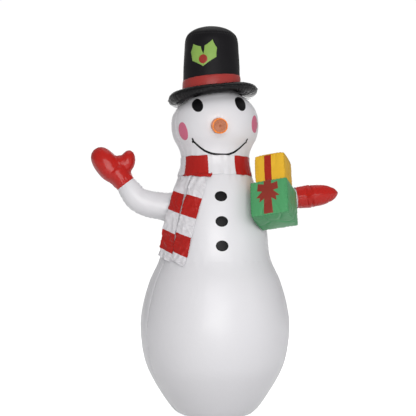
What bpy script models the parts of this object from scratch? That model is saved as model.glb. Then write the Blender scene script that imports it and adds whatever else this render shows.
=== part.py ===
"""Inflatable yard snowman: welded PVC film chambers that hold air, on a water ballast.

Metres, +Z up. The snowman faces -Y, its right arm is at -X and its left arm at +X.
The origin is the centre of the base panel's underside.
Angles round the body are measured from the front (-Y) towards +X.
"""

import math

import bmesh
import bpy
import numpy as np
from mathutils import Matrix, Vector

# ---------------------------------------------------------------- driving dimensions
WALL = 0.0006  # PVC film
SEAM_GAP = 0.0008  # between panels that are welded edge to edge
SKIN_GAP = 0.0018  # under a print or patch that lies on the skin
TOP_OF_HAT = 2.400
BASE_RADIUS = 0.188
BASE_TOP = 0.0008

# The body's outline, from the foot to the weld under the hat: radius, height.
BODY_OUTLINE = (
    (0.190, 0.0016),
    (0.238, 0.016),
    (0.268, 0.042),
    (0.320, 0.114),
    (0.389, 0.227),
    (0.436, 0.340),
    (0.463, 0.528),
    (0.445, 0.679),
    (0.401, 0.830),
    (0.350, 0.938),
    (0.332, 1.020),
    (0.326, 1.110),
    (0.303, 1.240),
    (0.262, 1.385),
    (0.222, 1.485),
    (0.207, 1.560),
    (0.222, 1.635),
    (0.257, 1.697),
    (0.273, 1.775),
    (0.265, 1.850),
    (0.237, 1.900),
    (0.198, 1.931),
    (0.172, 1.959),
)
FRONT_HALF = math.radians(68)  # half the front gore, and the back one: the sides are narrow
PANEL_ROWS = 26
PANEL_STEP = math.radians(12.4)
TURN_WEIGHT = 0.16  # metres of outline that a turn of one radian counts for

# The hat sits askew: its brim plane leans to -X.
HAT_CENTRE = Vector((-0.022, 0.0, 1.964))
HAT_TILT = math.radians(6.8)
LEAN_FROM = 1.80
LEAN_BY = 1.92
CROWN_OUTLINE = (
    (0.0, TOP_OF_HAT),
    (0.056, 2.396),
    (0.108, 2.380),
    (0.148, 2.352),
    (0.165, 2.315),
    (0.170, 2.255),
    (0.1745, 2.165),
    (0.177, 2.060),
    (0.178, 1.900),
)
BRIM_RING = 0.2300  # centre of the brim's tube
BRIM_RISE = 0.010
BRIM_HALF_WIDTH = 0.0500
BRIM_HALF_HEIGHT = 0.0420
BRIM_FRONT_FLATTER = 0.30  # share of the height lost at the very front
BRIM_FRONT_RISE = 0.006
BRIM_TO_LEFT = 0.010  # how far the rim's outer edge is out on its left, and in on its right
EYES_FACE = math.radians(-6)  # the eyes look round from this side
BAND_TOP = 2.075
BAND_TILT = math.radians(5.2)
BAND_FOOT = 0.050  # above the brim plane

# Shoulders: where each arm's axis crosses the skin, which is also its pivot.
SHOULDER_R = Vector((-0.292, 0.0, 1.276))
SHOULDER_L = Vector((0.290, 0.0, 1.292))
SHOULDER_CLEARANCE = 0.004
# Centrelines of the sleeves: x, y, z, radius.
SLEEVE_R = (
    (-0.262, 0.000, 1.272, 0.0875),
    (-0.330, 0.000, 1.281, 0.0865),
    (-0.410, 0.000, 1.294, 0.0830),
    (-0.480, 0.000, 1.325, 0.0780),
    (-0.522, 0.000, 1.374, 0.0720),
    (-0.553, 0.000, 1.416, 0.0620),
)
SLEEVE_L = (
    (0.262, 0.000, 1.288, 0.0800),
    (0.330, 0.000, 1.296, 0.0780),
    (0.400, 0.002, 1.314, 0.0730),
    (0.460, 0.004, 1.3275, 0.0680),
    (0.512, 0.006, 1.3345, 0.0620),
)
MITTEN_TILT_R = math.radians(127)  # of the fingers above +X
MITTEN_TILT_L = math.radians(7)

# Scarf
COLLAR_FOOT = 1.474
COLLAR_TOP = 1.583
COLLAR_GAP = 0.0030
TAIL_TOP = 1.461
TAIL_GAP = 0.0050
TAIL_WALL = 0.0010
TAIL_SLANT = 0.28  # fall of the cloth's weave from its right edge to its left one
# Angle at the top, angle at the foot, width, height of the foot, widening at the foot.
TAIL_INNER = (math.radians(-28), math.radians(-45), 0.106, 0.930, 0.0)
TAIL_OUTER = (math.radians(-51.8), math.radians(-64.2), 0.080, 0.952, 0.034)

# Gifts: edge lengths, and the green one's centre and turn.
GREEN_EDGE = 0.222
BOW_NARROWER = 0.87
YELLOW_EDGE = 0.178
GREEN_CENTRE = Vector((0.324, -0.290, 1.286))
GIFT_YAW = math.radians(-28)
GIFT_PITCH = math.radians(-22)
GIFT_ROLL = math.radians(-9)
RIBBON_WIDTH = 0.050

# Ballast
WATER_LEVEL = 0.062
DIAPHRAGM_EDGE = 0.128
DIAPHRAGM_RISE = 0.014

# Valves: scale, then height on the back for those on the body.
MAIN_VALVE_SCALE = 1.0
MAIN_VALVE_HEIGHT = 0.528
BALLAST_VALVE_SCALE = 0.62
BALLAST_VALVE_HEIGHT = 0.088
SMALL_VALVE_SCALE = 0.50

# Tether points on the back
TETHER_ANGLES = (("right", math.radians(-138)), ("left", math.radians(138)))
TETHER_HEIGHT = 1.060

COLOURS = {
    "white_pvc": ((0.86, 0.855, 0.87), 0.36),
    "black_pvc": ((0.012, 0.012, 0.014), 0.30),
    "red_pvc": ((0.55, 0.022, 0.018), 0.28),
    "hat_band": ((0.42, 0.040, 0.028), 0.38),
    "print_black": ((0.010, 0.010, 0.012), 0.45),
    "print_pink": ((0.62, 0.16, 0.30), 0.42),
    "orange_pvc": ((0.78, 0.16, 0.015), 0.34),
    "green_pvc": ((0.060, 0.340, 0.130), 0.36),
    "yellow_pvc": ((0.76, 0.46, 0.055), 0.36),
    "ribbon_red": ((0.40, 0.018, 0.016), 0.40),
    "leaf_green": ((0.24, 0.56, 0.07), 0.42),
    "scarf": ((0.50, 0.016, 0.010), 0.50),
    "clear_pvc": ((0.72, 0.76, 0.80), 0.22),
    "valve_plastic": ((0.78, 0.80, 0.82), 0.35),
    "water": ((0.45, 0.62, 0.70), 0.05),
    "webbing": ((0.02, 0.02, 0.022), 0.85),
    "steel": ((0.62, 0.62, 0.64), 0.28),
}


# ---------------------------------------------------------------- scene and objects
def clear_scene():
    for obj in list(bpy.data.objects):
        bpy.data.objects.remove(obj)


def collection(name, hidden=False):
    made = bpy.data.collections.new(name)
    bpy.context.scene.collection.children.link(made)
    made.hide_render = hidden
    return made


def material(name):
    found = bpy.data.materials.get(name)
    if found:
        return found
    made = bpy.data.materials.new(name)
    made.use_nodes = True
    shader = made.node_tree.nodes["Principled BSDF"]
    colour, roughness = COLOURS[name]
    shader.inputs["Base Color"].default_value = (*colour, 1.0)
    shader.inputs["Roughness"].default_value = roughness
    shader.inputs["Metallic"].default_value = 1.0 if name == "steel" else 0.0
    return made


def object_of(name, mesh, finish, where=None):
    """A part in the snowman's collection, or a cutter if it has no finish."""
    obj = bpy.data.objects.new(name, mesh)
    (PARTS if finish else CUTTERS).objects.link(obj)
    if where is not None:
        obj.matrix_world = where
    if finish:
        mesh.materials.clear()
        mesh.materials.append(material(finish))
        mesh.shade_smooth()
        mesh.set_sharp_from_angle(angle=math.radians(35))
    else:
        obj.hide_render = True
        obj.display_type = "WIRE"
    return obj


def mesh_from(build, name):
    """A mesh that build fills through bmesh."""
    bm = bmesh.new()
    build(bm)
    mesh = bpy.data.meshes.new(name)
    bm.to_mesh(mesh)
    bm.free()
    return mesh


def baked(obj, name):
    """The object's evaluated mesh in world space, with its ends welded; the object is removed."""
    bpy.context.view_layer.update()
    graph = bpy.context.evaluated_depsgraph_get()
    mesh = bpy.data.meshes.new_from_object(obj.evaluated_get(graph))
    mesh.transform(obj.matrix_world)
    mesh.name = name
    bpy.data.objects.remove(obj)
    bm = bmesh.new()
    bm.from_mesh(mesh)
    bmesh.ops.remove_doubles(bm, verts=bm.verts, dist=0.00005)
    bm.to_mesh(mesh)
    bm.free()
    return mesh


def pivot(name, where, children):
    """An empty whose X axis is the joint axis that its children turn about."""
    empty = bpy.data.objects.new(name, None)
    empty.empty_display_size = 0.05
    PARTS.objects.link(empty)
    empty.matrix_world = where
    for child in children:
        child.parent = empty
        child.matrix_parent_inverse = where.inverted()
    return empty


def add_wall(obj, thickness=WALL, offset=-1.0):
    wall = obj.modifiers.new("wall", "SOLIDIFY")
    wall.thickness = thickness
    wall.offset = offset


def add_boolean(obj, other, operation="DIFFERENCE"):
    step = obj.modifiers.new(operation.lower(), "BOOLEAN")
    step.operation = operation
    step.object = other


def spin(obj, steps, merge=True):
    """Turns the object's profile into a body of revolution about its Z axis."""
    turn = obj.modifiers.new("turn", "SCREW")
    turn.axis = "Z"
    turn.steps = steps
    turn.render_steps = steps
    turn.use_merge_vertices = merge
    turn.merge_threshold = 0.00002
    turn.use_normal_calculate = False


def profile_mesh(name, points, closed=False):
    mesh = bpy.data.meshes.new(name)
    count = len(points)
    edges = [(i, i + 1) for i in range(count - 1)]
    if closed:
        edges.append((count - 1, 0))
    mesh.from_pydata([(r, 0.0, z) for r, z in points], edges, [])
    return mesh


def turned(name, points, steps, finish, where=None, closed=False):
    obj = object_of(name, profile_mesh(name, points, closed), finish, where)
    spin(obj, steps)
    return obj


def cylinder(name, radius, depth, where, segments=32, finish=None):
    def build(bm):
        bmesh.ops.create_cone(
            bm, cap_ends=True, segments=segments, radius1=radius, radius2=radius, depth=depth
        )

    return object_of(name, mesh_from(build, name), finish, where)


def block(name, size, where, finish=None, bevel=0.0, bevel_steps=2):
    """A box of the given size, centred at where."""

    def build(bm):
        bmesh.ops.create_cube(bm, size=1.0)
        bmesh.ops.scale(bm, vec=size, verts=bm.verts)

    obj = object_of(name, mesh_from(build, name), finish, where)
    if bevel:
        edge = obj.modifiers.new("edges", "BEVEL")
        edge.width = bevel
        edge.segments = bevel_steps
        edge.limit_method = "NONE"
    return obj


def mapped_grid(name, columns, rows, place, finish, wall=WALL, offset=-1.0):
    """A sheet: a flat grid whose points are placed by place(u, v), u and v from 0 to 1."""

    def build(bm):
        bmesh.ops.create_grid(bm, x_segments=columns, y_segments=rows, size=0.5)
        for vert in bm.verts:
            vert.co = place(vert.co.x + 0.5, vert.co.y + 0.5)

    obj = object_of(name, mesh_from(build, name), finish)
    add_wall(obj, wall, offset)
    return obj


def mapped_ring(name, segments, place, finish, wall=WALL):
    """A closed band: an open tube whose points are placed by place(angle, v)."""

    def build(bm):
        bmesh.ops.create_cone(bm, cap_ends=False, segments=segments, radius1=1, radius2=1, depth=1)
        for vert in bm.verts:
            vert.co = place(math.atan2(vert.co.x, -vert.co.y), vert.co.z + 0.5)

    obj = object_of(name, mesh_from(build, name), finish)
    add_wall(obj, wall, 1.0)
    return obj


# ---------------------------------------------------------------- smooth curves
def smooth_path(points, per_span):
    """Catmull-Rom points through the given ones."""
    known = [np.array(p, float) for p in points]
    known = [2 * known[0] - known[1], *known, 2 * known[-1] - known[-2]]
    path = []
    for i in range(1, len(known) - 2):
        a, b, c, d = known[i - 1 : i + 3]
        for step in range(per_span):
            t = step / per_span
            path.append(
                0.5
                * (
                    2 * b
                    + (c - a) * t
                    + (2 * a - 5 * b + 4 * c - d) * t**2
                    + (3 * b - a - 3 * c + d) * t**3
                )
            )
    path.append(known[-2])
    return np.array(path)


BODY_CURVE = smooth_path(BODY_OUTLINE, 12)
CROWN_CURVE = smooth_path(CROWN_OUTLINE, 12)


def row_heights():
    """Heights of the panels' rows, closest where the outline bends most."""
    steps = np.diff(BODY_CURVE, axis=0)
    headings = np.arctan2(steps[:, 1], steps[:, 0])
    turns = np.abs(np.diff(headings, prepend=headings[0]))
    weights = np.linalg.norm(steps, axis=1) + TURN_WEIGHT * turns
    along = np.concatenate([[0], np.cumsum(weights)])
    return np.interp(np.linspace(0, along[-1], PANEL_ROWS + 1), along, BODY_CURVE[:, 1])


ROW_HEIGHTS = row_heights()
ROW_RADII = np.interp(ROW_HEIGHTS, BODY_CURVE[:, 1], BODY_CURVE[:, 0])


def body_radius(height):
    return float(np.interp(height, ROW_HEIGHTS, ROW_RADII))


def crown_radius(height):
    return float(np.interp(height, CROWN_CURVE[::-1, 1], CROWN_CURVE[::-1, 0]))


def smoothstep(x):
    x = min(1.0, max(0.0, x))
    return x * x * (3 - 2 * x)


def lean(point):
    """Carries the top of the head over to the tilted hat."""
    share = smoothstep((point.z - LEAN_FROM) / (LEAN_BY - LEAN_FROM))
    turn = Matrix.Rotation(-HAT_TILT, 3, "Y")
    tilted = HAT_CENTRE + turn @ (point - Vector((0, 0, HAT_CENTRE.z)))
    return point.lerp(tilted, share)


def skin_frame(angle, height):
    """Point on the body's skin, and its outward normal, before the lean."""
    step = 0.002
    slope = (body_radius(height + step) - body_radius(height - step)) / (2 * step)
    normal = Vector((math.sin(angle), -math.cos(angle), -slope)).normalized()
    radius = body_radius(height)
    return Vector((radius * math.sin(angle), -radius * math.cos(angle), height)), normal


def skin(angle, height, lift=0.0):
    point, normal = skin_frame(angle, height)
    return lean(point + normal * lift)


def outward_frame(point, normal):
    """Local +Z along the normal and local +Y as near up as it allows."""
    side = Vector((0, 0, 1)).cross(normal).normalized()
    up = normal.cross(side)
    turn = Matrix((side, up, normal)).transposed().to_4x4()
    return Matrix.Translation(point) @ turn


# ---------------------------------------------------------------- body
def body_panels():
    """Four gores, from the foot to the weld under the hat."""
    made = []
    side_half = math.radians(90) - FRONT_HALF
    for name, middle, half_turn in (
        ("front", 0, FRONT_HALF),
        ("left_side", 90, side_half),
        ("back", 180, FRONT_HALF),
        ("right_side", 270, side_half),
    ):
        middle = math.radians(middle)

        def place(u, v):
            height = float(np.interp(v, np.linspace(0, 1, len(ROW_HEIGHTS)), ROW_HEIGHTS))
            half = half_turn - SEAM_GAP / 2 / body_radius(height)
            return skin(middle + (2 * u - 1) * half, height)

        columns = round(2 * half_turn / PANEL_STEP)
        made.append(mapped_grid(name + "_panel", columns, PANEL_ROWS, place, "white_pvc"))
    return made


def body(panels):
    front, left_side, back, right_side = panels
    cylinder(
        "base_panel",
        BASE_RADIUS,
        BASE_TOP,
        Matrix.Translation((0, 0, BASE_TOP / 2)),
        28,
        "white_pvc",
    )
    for panel, pivot, sleeve in (
        (right_side, SHOULDER_R, SLEEVE_R),
        (left_side, SHOULDER_L, SLEEVE_L),
    ):
        along = (Vector(sleeve[1][:3]) - Vector(sleeve[0][:3])).normalized()
        turn = along.to_track_quat("Z", "Y").to_matrix().to_4x4()
        opening = cylinder(
            panel.name + "_arm_opening",
            sleeve[0][3] + SHOULDER_CLEARANCE,
            0.12,
            Matrix.Translation(pivot) @ turn,
            40,
        )
        add_boolean(panel, opening)

    diaphragm = turned(
        "ballast_diaphragm",
        arc_profile(body_radius(DIAPHRAGM_EDGE) - 0.0035, DIAPHRAGM_EDGE, DIAPHRAGM_RISE, 3),
        28,
        "white_pvc",
    )
    add_wall(diaphragm)
    wall_points = [
        (body_radius(z) - 0.0035, z) for z in np.linspace(WATER_LEVEL, 0.004, 4)
    ]
    turned(
        "water_ballast",
        [(0.0, WATER_LEVEL), *wall_points, (0.0, 0.004)],
        28,
        "water",
    )


def arc_profile(radius, edge_height, rise, steps):
    """Outline of a shallow dome, from its middle to its edge."""
    return [
        (radius * i / steps, edge_height + rise * (1 - (i / steps) ** 2))
        for i in range(steps + 1)
    ]


# ---------------------------------------------------------------- prints on the skin
def disc_uv(u, v):
    """A square of side 2 made round."""
    x, y = 2 * u - 1, 2 * v - 1
    return x * math.sqrt(1 - y * y / 2), y * math.sqrt(1 - x * x / 2)


def oval_print(name, angle, height, half_width, half_height, finish, slant=0.0, facing=None):
    """An oval along the skin, or one that looks like an oval from the side it faces."""
    radius = body_radius(height)

    def place(u, v):
        x, y = disc_uv(u, v)
        across = x * half_width * math.cos(slant) - y * half_height * math.sin(slant)
        up = x * half_width * math.sin(slant) + y * half_height * math.cos(slant)
        if facing is None:
            return skin(angle + across / radius, height + up, SKIN_GAP)
        aside = radius * math.sin(angle - facing) + across
        turn = math.asin(aside / body_radius(height + up))
        return skin(facing + turn, height + up, SKIN_GAP)

    return mapped_grid(name, 6, 6, place, finish, WALL, 1.0)


def face_and_buttons():
    for name, angle, height, half_width, half_height, slant in (
        ("right_eye", -28.8, 1.892, 0.0335, 0.048, -0.04),
        ("left_eye", 36.0, 1.883, 0.0310, 0.042, 0.10),
    ):
        oval_print(
            name,
            math.radians(angle),
            height,
            half_width,
            half_height,
            "print_black",
            slant,
            facing=EYES_FACE,
        )
    oval_print("right_cheek", math.radians(-53), 1.728, 0.040, 0.056, "print_pink", 0.08)
    oval_print("left_cheek", math.radians(59), 1.778, 0.050, 0.052, "print_pink", -0.02)
    for name, height in (("top", 1.333), ("middle", 1.184), ("bottom", 1.041)):
        oval_print(name + "_button", math.radians(1.3), height, 0.0372, 0.0318, "print_black")

    def smile(u, v):
        share = 2 * u - 1
        lowest = 0.14
        if share < lowest:
            rise = ((lowest - share) / (1 + lowest)) ** 3.0
        else:
            rise = ((share - lowest) / (1 - lowest)) ** 2.15
        angle = math.radians(3.1 + 41.5 * share)
        return skin(angle, 1.586 + 0.080 * rise + (v - 0.5) * 0.011, SKIN_GAP)

    mapped_grid("smile", 20, 1, smile, "print_black", WALL, 1.0)

    point, normal = skin_frame(math.radians(-1.0), 1.752)
    nose = turned(
        "nose",
        (
            (0.0, 0.0865),
            (0.022, 0.0870),
            (0.040, 0.0865),
            (0.0445, 0.080),
            (0.0440, 0.050),
            (0.0448, 0.020),
            (0.0468, 0.0045),
        ),
        18,
        "orange_pvc",
        outward_frame(point, normal),
    )
    add_wall(nose)


# ---------------------------------------------------------------- scarf
def scarf():
    def collar(angle, v):
        height = COLLAR_FOOT + (COLLAR_TOP - COLLAR_FOOT) * v
        return skin(angle, height, COLLAR_GAP)

    mapped_ring("scarf_collar", 40, collar, "scarf")

    for name, (top, foot, width, foot_height, flare) in (
        ("inner", TAIL_INNER),
        ("outer", TAIL_OUTER),
    ):

        def tail(u, v):
            across = (u - 0.5) * (width + flare * (1 - v))
            height = foot_height + (TAIL_TOP - foot_height) * v
            height -= TAIL_SLANT * across * min(1.0, (1 - v) / 0.14)
            middle = foot + (top - foot) * v
            return skin(middle + across / body_radius(height), height, TAIL_GAP)

        piece = mapped_grid("scarf_tail_" + name, 3, 13, tail, "scarf", TAIL_WALL, 1.0)
        point, normal = skin_frame(top, TAIL_TOP)
        level = Vector((normal.x, normal.y, 0)).normalized()
        hem = outward_frame(point + normal * TAIL_GAP, level)
        pivot("scarf_tail_" + name + "_hinge", hem, [piece])


# ---------------------------------------------------------------- hat
def hat_frame():
    return Matrix.Translation(HAT_CENTRE) @ Matrix.Rotation(-HAT_TILT, 4, "Y")


def hat():
    shape = turned("crown_shape", CROWN_CURVE[::12].tolist(), 36, None)
    shape.location.x = HAT_CENTRE.x
    mesh = baked(shape, "hat_crown")
    bm = bmesh.new()
    bm.from_mesh(mesh)
    plane_normal = hat_frame().to_3x3() @ Vector((0, 0, 1))
    bmesh.ops.bisect_plane(
        bm,
        geom=bm.verts[:] + bm.edges[:] + bm.faces[:],
        plane_co=HAT_CENTRE + plane_normal * 0.0012,
        plane_no=plane_normal,
        clear_inner=True,
    )
    bm.to_mesh(mesh)
    bm.free()
    add_wall(object_of("hat_crown", mesh, "black_pvc"))

    def band(angle, v):
        side = crown_radius(2.02) * math.sin(angle)
        foot = HAT_CENTRE.z + BAND_FOOT + side * math.tan(HAT_TILT)
        top = BAND_TOP + side * math.tan(BAND_TILT)
        height = foot + (top - foot) * v
        radius = crown_radius(height) + SKIN_GAP
        return Vector(
            (HAT_CENTRE.x + radius * math.sin(angle), -radius * math.cos(angle), height)
        )

    mapped_ring("hat_band", 36, band, "hat_band")

    bpy.ops.mesh.primitive_torus_add(
        major_segments=36,
        minor_segments=8,
        major_radius=BRIM_RING,
        minor_radius=BRIM_HALF_WIDTH,
    )
    ring = bpy.context.active_object
    ring.scale.z = BRIM_HALF_HEIGHT / BRIM_HALF_WIDTH
    mesh = baked(ring, "hat_brim")
    inner = BRIM_RING - BRIM_HALF_WIDTH
    for vertex in mesh.vertices:
        x, y, z = vertex.co
        radius, angle = math.hypot(x, y), math.atan2(x, -y)
        outward = (radius - inner) / (2 * BRIM_HALF_WIDTH)
        radius += BRIM_TO_LEFT * math.sin(angle) * outward
        front = max(0.0, math.cos(angle)) ** 1.5
        z = z * (1 - BRIM_FRONT_FLATTER * front) + BRIM_RISE + BRIM_FRONT_RISE * front
        vertex.co = (radius * math.sin(angle), -radius * math.cos(angle), z)
    brim = object_of("hat_brim", mesh, "black_pvc", hat_frame())
    add_wall(brim)

    seat = hat_frame() @ outward_frame(
        Vector((0, BRIM_RING + BRIM_HALF_WIDTH, BRIM_RISE)), Vector((0, 1, 0))
    )
    valve("hat", seat, SMALL_VALVE_SCALE, brim)
    holly()


def crown_skin(angle, height, lift):
    radius = crown_radius(height) + lift
    return Vector((HAT_CENTRE.x + radius * math.sin(angle), -radius * math.cos(angle), height))


def holly():
    """Two spiky leaves that meet at a round berry."""
    foot_angle, foot_height = math.radians(-22.5), 2.125
    # Share of the leaf's length, half width on its outer side, on its inner side.
    shape = (
        (0.00, 0.004, 0.004),
        (0.16, 0.028, 0.014),
        (0.34, 0.050, 0.026),
        (0.50, 0.036, 0.028),
        (0.72, 0.040, 0.034),
        (0.86, 0.018, 0.014),
        (1.00, 0.001, 0.001),
    )
    shares = [row[0] for row in shape]
    for name, turn, length, outer in (
        ("right", math.radians(24), 0.150, -1),
        ("left", math.radians(-19), 0.168, 1),
    ):

        def leaf(u, v):
            outside = float(np.interp(v, shares, [row[1] for row in shape]))
            inside = float(np.interp(v, shares, [row[2] for row in shape]))
            left, right = (inside, outside) if outer > 0 else (outside, inside)
            across = -left + (left + right) * u
            along = v * length
            x = across * math.cos(turn) - along * math.sin(turn) + outer * 0.005
            y = across * math.sin(turn) + along * math.cos(turn)
            return crown_skin(foot_angle + x / 0.174, foot_height + y, SKIN_GAP)

        mapped_grid("holly_leaf_" + name, 2, 12, leaf, "leaf_green", WALL, 1.0)

    def berry(u, v):
        x, y = disc_uv(u, v)
        angle = foot_angle + 0.027 * x / 0.174
        return crown_skin(angle, foot_height + 0.044 + 0.027 * y, SKIN_GAP + 2 * WALL)

    mapped_grid("holly_berry", 4, 4, berry, "red_pvc", WALL, 1.0)


# ---------------------------------------------------------------- arms
def sleeve(name, centreline):
    data = bpy.data.curves.new(name, "CURVE")
    data.dimensions = "3D"
    data.bevel_depth = 1.0
    data.bevel_resolution = 2
    data.use_fill_caps = False
    points = smooth_path(centreline, 3)
    spline = data.splines.new("POLY")
    spline.points.add(len(points) - 1)
    for point, (x, y, z, radius) in zip(spline.points, points):
        point.co = (x, y, z, 1.0)
        point.radius = radius
    tube = bpy.data.objects.new(name + "_path", data)
    CUTTERS.objects.link(tube)
    obj = object_of(name, baked(tube, name), "white_pvc")
    add_wall(obj)
    return obj, Vector(points[-1][:3])


def mitten(name, cuff, fingers, thumb_side, reach):
    """A hand in local axes: +X along the fingers, +Y to the thumb, open at the cuff."""
    half = 0.42 * reach

    def build(bm):
        bmesh.ops.create_cone(
            bm,
            cap_ends=True,
            segments=16,
            radius1=0.0622,
            radius2=0.070,
            depth=0.14,
            matrix=Matrix.Translation((0.06, 0, 0)) @ Matrix.Rotation(math.radians(90), 4, "Y"),
        )

    def ball(size, centre, turn, name):
        where = Matrix.Translation(centre) @ Matrix.Rotation(turn, 4, "Z")

        def fill(bm):
            bmesh.ops.create_uvsphere(
                bm,
                u_segments=12,
                v_segments=8,
                radius=1.0,
                matrix=where @ Matrix.Diagonal((*size, 1.0)),
            )

        return object_of(name, mesh_from(fill, name), None)

    hand = object_of(name + "_shape", mesh_from(build, name + "_shape"), None)
    fingers_ball = ball((half, 0.074, 0.066), (reach - half, -0.021, 0), 0.0, name + "_fingers")
    thumb_ball = ball((0.068, 0.043, 0.044), (0.104, 0.092, 0), math.radians(48), name + "_thumb")
    add_boolean(hand, fingers_ball, "UNION")
    add_boolean(hand, thumb_ball, "UNION")
    web_ball = ball((0.047, 0.040, 0.044), (0.122, 0.051, 0), 0.0, name + "_web")
    add_boolean(hand, web_ball, "UNION")
    mesh = baked(hand, name)
    bm = bmesh.new()
    bm.from_mesh(mesh)
    bmesh.ops.bisect_plane(
        bm,
        geom=bm.verts[:] + bm.edges[:] + bm.faces[:],
        plane_co=(0.0016, 0, 0),
        plane_no=(1, 0, 0),
        clear_inner=True,
    )
    bm.to_mesh(mesh)
    bm.free()
    palm = fingers.cross(thumb_side)
    turn = Matrix((fingers, thumb_side, palm)).transposed().to_4x4()
    obj = object_of(name, mesh, "red_pvc", Matrix.Translation(cuff) @ turn)
    add_wall(obj)
    return obj


def arms():
    forward = Matrix.Rotation(math.radians(90), 4, "Z")
    arm, cuff = sleeve("right_sleeve", SLEEVE_R)
    fingers = Vector((math.cos(MITTEN_TILT_R), 0, math.sin(MITTEN_TILT_R)))
    thumb = Vector((math.sin(MITTEN_TILT_R), 0, -math.cos(MITTEN_TILT_R)))
    hand = mitten("right_mitten", cuff, fingers, thumb, 0.281)
    pivot("right_arm_flex", Matrix.Translation(SHOULDER_R) @ forward, [arm, hand])
    arm, cuff = sleeve("left_sleeve", SLEEVE_L)
    fingers = Vector((math.cos(MITTEN_TILT_L), 0, math.sin(MITTEN_TILT_L)))
    hand = mitten("left_mitten", cuff, fingers, Vector((0, 1, 0)), 0.266)
    held = gifts()
    pivot("left_arm_flex", Matrix.Translation(SHOULDER_L) @ forward, [arm, hand, *held])


# ---------------------------------------------------------------- gifts
def gift_turn():
    return (
        Matrix.Rotation(GIFT_YAW, 4, "Z")
        @ Matrix.Rotation(GIFT_PITCH, 4, "X")
        @ Matrix.Rotation(GIFT_ROLL, 4, "Y")
    )


def gifts():
    """Everything that the left hand holds, as a list."""
    held = []
    green_frame = Matrix.Translation(GREEN_CENTRE) @ gift_turn()
    rise = (GREEN_EDGE + YELLOW_EDGE) / 2 + 0.004
    yellow_frame = green_frame @ Matrix.Translation((0.003, 0.004, rise))
    for name, edge, frame, finish in (
        ("green_gift", GREEN_EDGE, green_frame, "green_pvc"),
        ("yellow_gift", YELLOW_EDGE, yellow_frame, "yellow_pvc"),
    ):
        box = block(name, (edge, edge, edge), frame, finish, 0.010, 1)
        add_wall(box)
        back = outward_frame(Vector((0.25 * edge, edge / 2, 0.18 * edge)), Vector((0, 1, 0)))
        held += [box, *valve(name, frame @ back, SMALL_VALVE_SCALE, box)[1]]

    loop_size = YELLOW_EDGE + 2 * SKIN_GAP
    ribbon = block(
        "yellow_gift_ribbon",
        (RIBBON_WIDTH, loop_size + 2 * WALL, loop_size + 2 * WALL),
        yellow_frame @ Matrix.Translation((-0.010, 0, 0)),
        "ribbon_red",
        0.0,
    )
    hole = block(
        "yellow_gift_ribbon_hole",
        (2 * RIBBON_WIDTH, loop_size, loop_size),
        yellow_frame @ Matrix.Translation((-0.010, 0, 0)),
    )
    add_boolean(ribbon, hole)
    return [*held, ribbon, bow(green_frame), gift_tab(green_frame)]


def bow(frame):
    """The green box's bow and ribbon, cut from one flat sheet."""
    half = (
        (0.115, 0.490),
        (0.115, 0.370),
        (0.310, 0.420),
        (0.330, 0.200),
        (0.170, 0.170),
        (0.370, 0.000),
        (0.250, -0.010),
        (0.270, -0.140),
        (0.115, -0.040),
        (0.145, -0.470),
    )
    outline = [*half, *[(-x, y) for x, y in reversed(half)]]
    data = bpy.data.curves.new("green_gift_bow", "CURVE")
    data.dimensions = "2D"
    data.fill_mode = "BOTH"
    data.extrude = WALL / 2
    spline = data.splines.new("POLY")
    spline.points.add(len(outline) - 1)
    for point, (x, y) in zip(spline.points, outline):
        point.co = (x * BOW_NARROWER * GREEN_EDGE, y * GREEN_EDGE, 0.0, 1.0)
    spline.use_cyclic_u = True
    sheet = bpy.data.objects.new("bow_sheet", data)
    CUTTERS.objects.link(sheet)
    mesh = baked(sheet, "green_gift_bow")
    stand = Matrix.Rotation(math.radians(90), 4, "X")
    place = Matrix.Translation((-0.006, -GREEN_EDGE / 2 - SKIN_GAP, 0)) @ stand
    return object_of("green_gift_bow", mesh, "ribbon_red", frame @ place)


def gift_tab(frame):
    """A film web from the back of the green box to the sleeve behind it."""
    start = frame @ Vector((0.030, GREEN_EDGE / 2 + 0.0120, 0.010))
    end = Vector((0.405, -0.0765, 1.302))
    along = (end - start).normalized()
    turn = along.to_track_quat("Y", "Z").to_matrix().to_4x4()
    length = (end - start).length
    middle = Matrix.Translation((start + end) / 2) @ turn
    return block("gift_tab", (0.040, length, 0.0012), middle, "green_pvc")


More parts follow.
